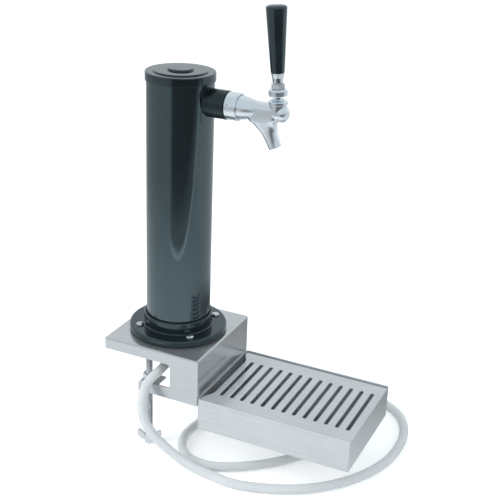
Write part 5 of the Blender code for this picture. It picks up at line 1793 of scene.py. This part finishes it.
@dataclass
class DripTray:
    """The drip tray and its lift-out grille.

    Each row of the slot's rim is a distance from the slot and a depth under the plate.
    """

    back: float = 0.0628
    length: float = 0.1884
    half_width: float = 0.0675
    rim: float = -0.0343
    bottom: float = -0.0747
    sheet: float = 0.0012
    corner: float = 0.0024
    least_corner: float = 0.0004
    corner_steps: int = 8
    fold: float = 0.0012
    fold_points: int = 5
    ease: float = 0.0003
    grille_top: float = -0.0360
    clearance: float = 0.0006
    bend: float = 0.0018
    bend_points: int = 7
    slots: int = 13
    pitch: float = 0.0131
    slot_width: float = 0.0046
    slot_length: float = 0.0886
    first_slot: float = 0.0188
    slot_rim: tuple[Span, ...] = ((0.0, 0.00045), (0.0004, 0.00016), (0.0009, 0.0))
    end_points: int = 13
    side_points: int = 40
    recess_depth: float = 0.0082
    recess_half: float = 0.040
    recess_ramp: float = 0.022
    place_digits: int = 9
    crease: float = 40.0

    def outline(self, inset: float, radius: float) -> Array:
        """A rounded rectangle, drawn in from the tray's outside."""
        u = self.length / 2 - inset
        v = self.half_width - inset
        corners = [(-u, -v, radius), (u, -v, radius), (u, v, radius), (-u, v, radius)]
        return rounded_path(corners, True, self.corner_steps) + (self.back + self.length / 2, 0.0)

    def tray(self) -> Piece:
        """The open tray: rounded outlines joined from the floor's middle out, up, over the rim and in."""
        turn = np.linspace(0, math.pi / 2, self.fold_points)
        fold, ease, inner = self.fold, self.ease, self.sheet
        rows = [(fold * (1 - math.sin(a)), self.bottom + fold * (1 - math.cos(a))) for a in turn]
        rows += [(0.0, self.rim - ease), (ease, self.rim), (inner - ease, self.rim)]
        rows += [(inner, self.rim - ease), (inner, self.bottom + inner)]
        loops = []
        for inset, height in rows:
            flat = self.outline(inset, max(self.corner - inset, self.least_corner))
            loops.append(at_height(flat, height))
        ends = [np.broadcast_to(loop.mean(axis=0), loop.shape) for loop in (loops[0], loops[-1])]
        return make_object("tray_pan", [Surface.woven(np.stack([ends[0], *loops, ends[1]]))])

    def recess(self, across: Array) -> Array:
        """Depth of the finger recess: full in the middle, with a half cosine ramp at each end."""
        ramp = np.clip((self.recess_half + self.recess_ramp - np.abs(across)) / self.recess_ramp, 0, 1)
        return self.recess_depth * (1 - np.cos(math.pi * ramp)) / 2

    def cell(
        self, middle: float, left: float, right: float, edge: float, first: bool,
    ) -> tuple[Surface, Array]:
        """One slot and the plate about it, as rings that spread from the slot to the cell's border.

        Args:
            middle: The slot's place along the tray.
            left: The cell's back end.
            right: The cell's front end.
            edge: Half the plate's flat width.
            first: Whether the back end has the finger recess.

        Returns:
            The plate, and the places along the tray of the border's side points.
        """
        half = self.slot_width / 2
        straight = self.slot_length / 2 - half
        turn = np.linspace(-math.pi, 0, self.end_points)
        sides = np.linspace(-1, 1, self.side_points + 2)[1:-1]
        even = np.ones_like(sides)
        low = np.column_stack([half * np.cos(turn), half * np.sin(turn) - straight])
        front = np.column_stack([half * even, straight * sides])
        slot = np.vstack([low, front, -low, -front]) + (middle, 0.0)
        steps = np.linspace(left, right, self.end_points)
        ahead = np.column_stack([right * even, edge * sides])
        behind = np.column_stack([left * even, -edge * sides])
        if first:
            behind[:, 0] += self.recess(behind[:, 1])
        near = np.column_stack([steps, np.full_like(steps, -edge)])
        far = np.column_stack([steps[::-1], np.full_like(steps, edge)])
        border = np.vstack([near, ahead, far, behind])
        reach = slot - (middle, 0.0)
        away = reach - np.clip(reach, (0.0, -straight), (0.0, straight))
        away = away / np.linalg.norm(away, axis=1)[:, None]
        rings = [(slot + away * out, sink) for out, sink in self.slot_rim] + [(border, 0.0)]
        grid = [at_height(flat, self.grille_top - sink) for flat, sink in rings]
        return Surface.woven(np.stack(grid)), steps

    def grille(self) -> Piece:
        """The grille: slotted plate, two bends and two skirts as one sheet, thickened downwards."""
        start = self.back + self.sheet + self.clearance
        end = self.back + self.length - self.sheet - self.clearance
        outer = self.half_width - self.sheet - self.clearance
        edge = outer - self.bend
        foot = self.bottom + self.sheet + GAP
        middles = self.back + self.first_slot + self.pitch * np.arange(self.slots)
        borders = np.concatenate([[start], (middles[:-1] + middles[1:]) / 2, [end]])
        parts = []
        stations = []
        for number, middle in enumerate(middles):
            part, steps = self.cell(middle, borders[number], borders[number + 1], edge, number == 0)
            parts.append(part)
            stations.append(steps)
        along = np.unique(np.round(np.concatenate(stations), self.place_digits))
        turn = np.linspace(0, math.pi / 2, self.bend_points)
        across = np.append(edge + self.bend * np.sin(turn), outer)
        height = np.append(self.grille_top - self.bend * (1 - np.cos(turn)), foot)
        for hand in (-1, 1):
            rows = np.broadcast_arrays(along[None, :], hand * across[:, None], height[:, None])
            parts.append(Surface.woven(np.stack(rows, axis=-1), closed_columns=False))
        piece = make_object("grille_plate", parts, self.crease)
        self.face_up(piece)
        solid = piece.modifiers.new("sheet", "SOLIDIFY")
        solid.thickness = self.sheet
        solid.offset = -1.0
        solid.use_even_offset = True
        bake_modifiers(piece)
        shade(piece.data, self.crease)
        return piece

    @staticmethod
    def face_up(piece: Piece) -> None:
        """Turns an open sheet's faces so that its flat top looks up."""
        work = bmesh.new()
        work.from_mesh(piece.data)
        if sum(face.normal.z * face.calc_area() for face in work.faces) < 0:
            bmesh.ops.reverse_faces(work, faces=work.faces)
        work.to_mesh(piece.data)
        work.free()

    def build(self, finishes: Finishes) -> None:
        """Makes the tray and the grille."""
        settle(self.tray(), finishes.tray, Body.TOWER, Slot.TRAY, "drip_tray")
        settle(self.grille(), finishes.tray, Body.GRILLE, Slot.TRAY, "drip_grille")


@dataclass
class CarriedSolids:
    """Solids whose shape is right as packed, which only get a finish."""

    finish_names: dict[str, tuple[str, ...]] = field(default_factory=lambda: {
        "bracket": ("clamp_bracket",),
        "zinc": (
            "flange_nut_1", "flange_nut_2", "flange_nut_3", "flange_nut_4", "hose_clamp_upper",
            "faucet_shaft", "shaft_nut",
        ),
        "brass": ("beer_shank", "saddle_washer", "lock_nut"),
        "chrome": ("tail_nut", "elbow_tailpiece"),
        "rubber": (
            "tail_washer", "faucet_gasket", "seat_washer", "ball_washer", "friction_washer", "keg_washer",
        ),
    })

    def build(self, finishes: Finishes, frame: dict) -> None:
        """Dresses the solids."""
        for label, names in self.finish_names.items():
            for name in names:
                materials = frame["nodes"][name].data.materials
                materials.clear()
                materials.append(getattr(finishes, label))
                LOG.info("%s keeps its solid", name)


def main() -> None:
    """Builds the studio and every piece."""
    logging.basicConfig(level=logging.INFO, format="%(name)s: %(message)s")
    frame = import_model()
    solids_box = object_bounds()
    Studio().build()
    finishes = Finishes()
    BeerHose().build(finishes, frame, np.array(solids_box))
    Column().build(finishes)
    Faucet().build(finishes)
    Clamp("front", -1, Body.FRONT_SCREW, Body.FRONT_PAD).build(finishes)
    Clamp("rear", 1, Body.REAR_SCREW, Body.REAR_PAD).build(finishes)
    DripTray().build(finishes)
    CarriedSolids().build(finishes, frame)


if __name__ == "__main__":
    main()
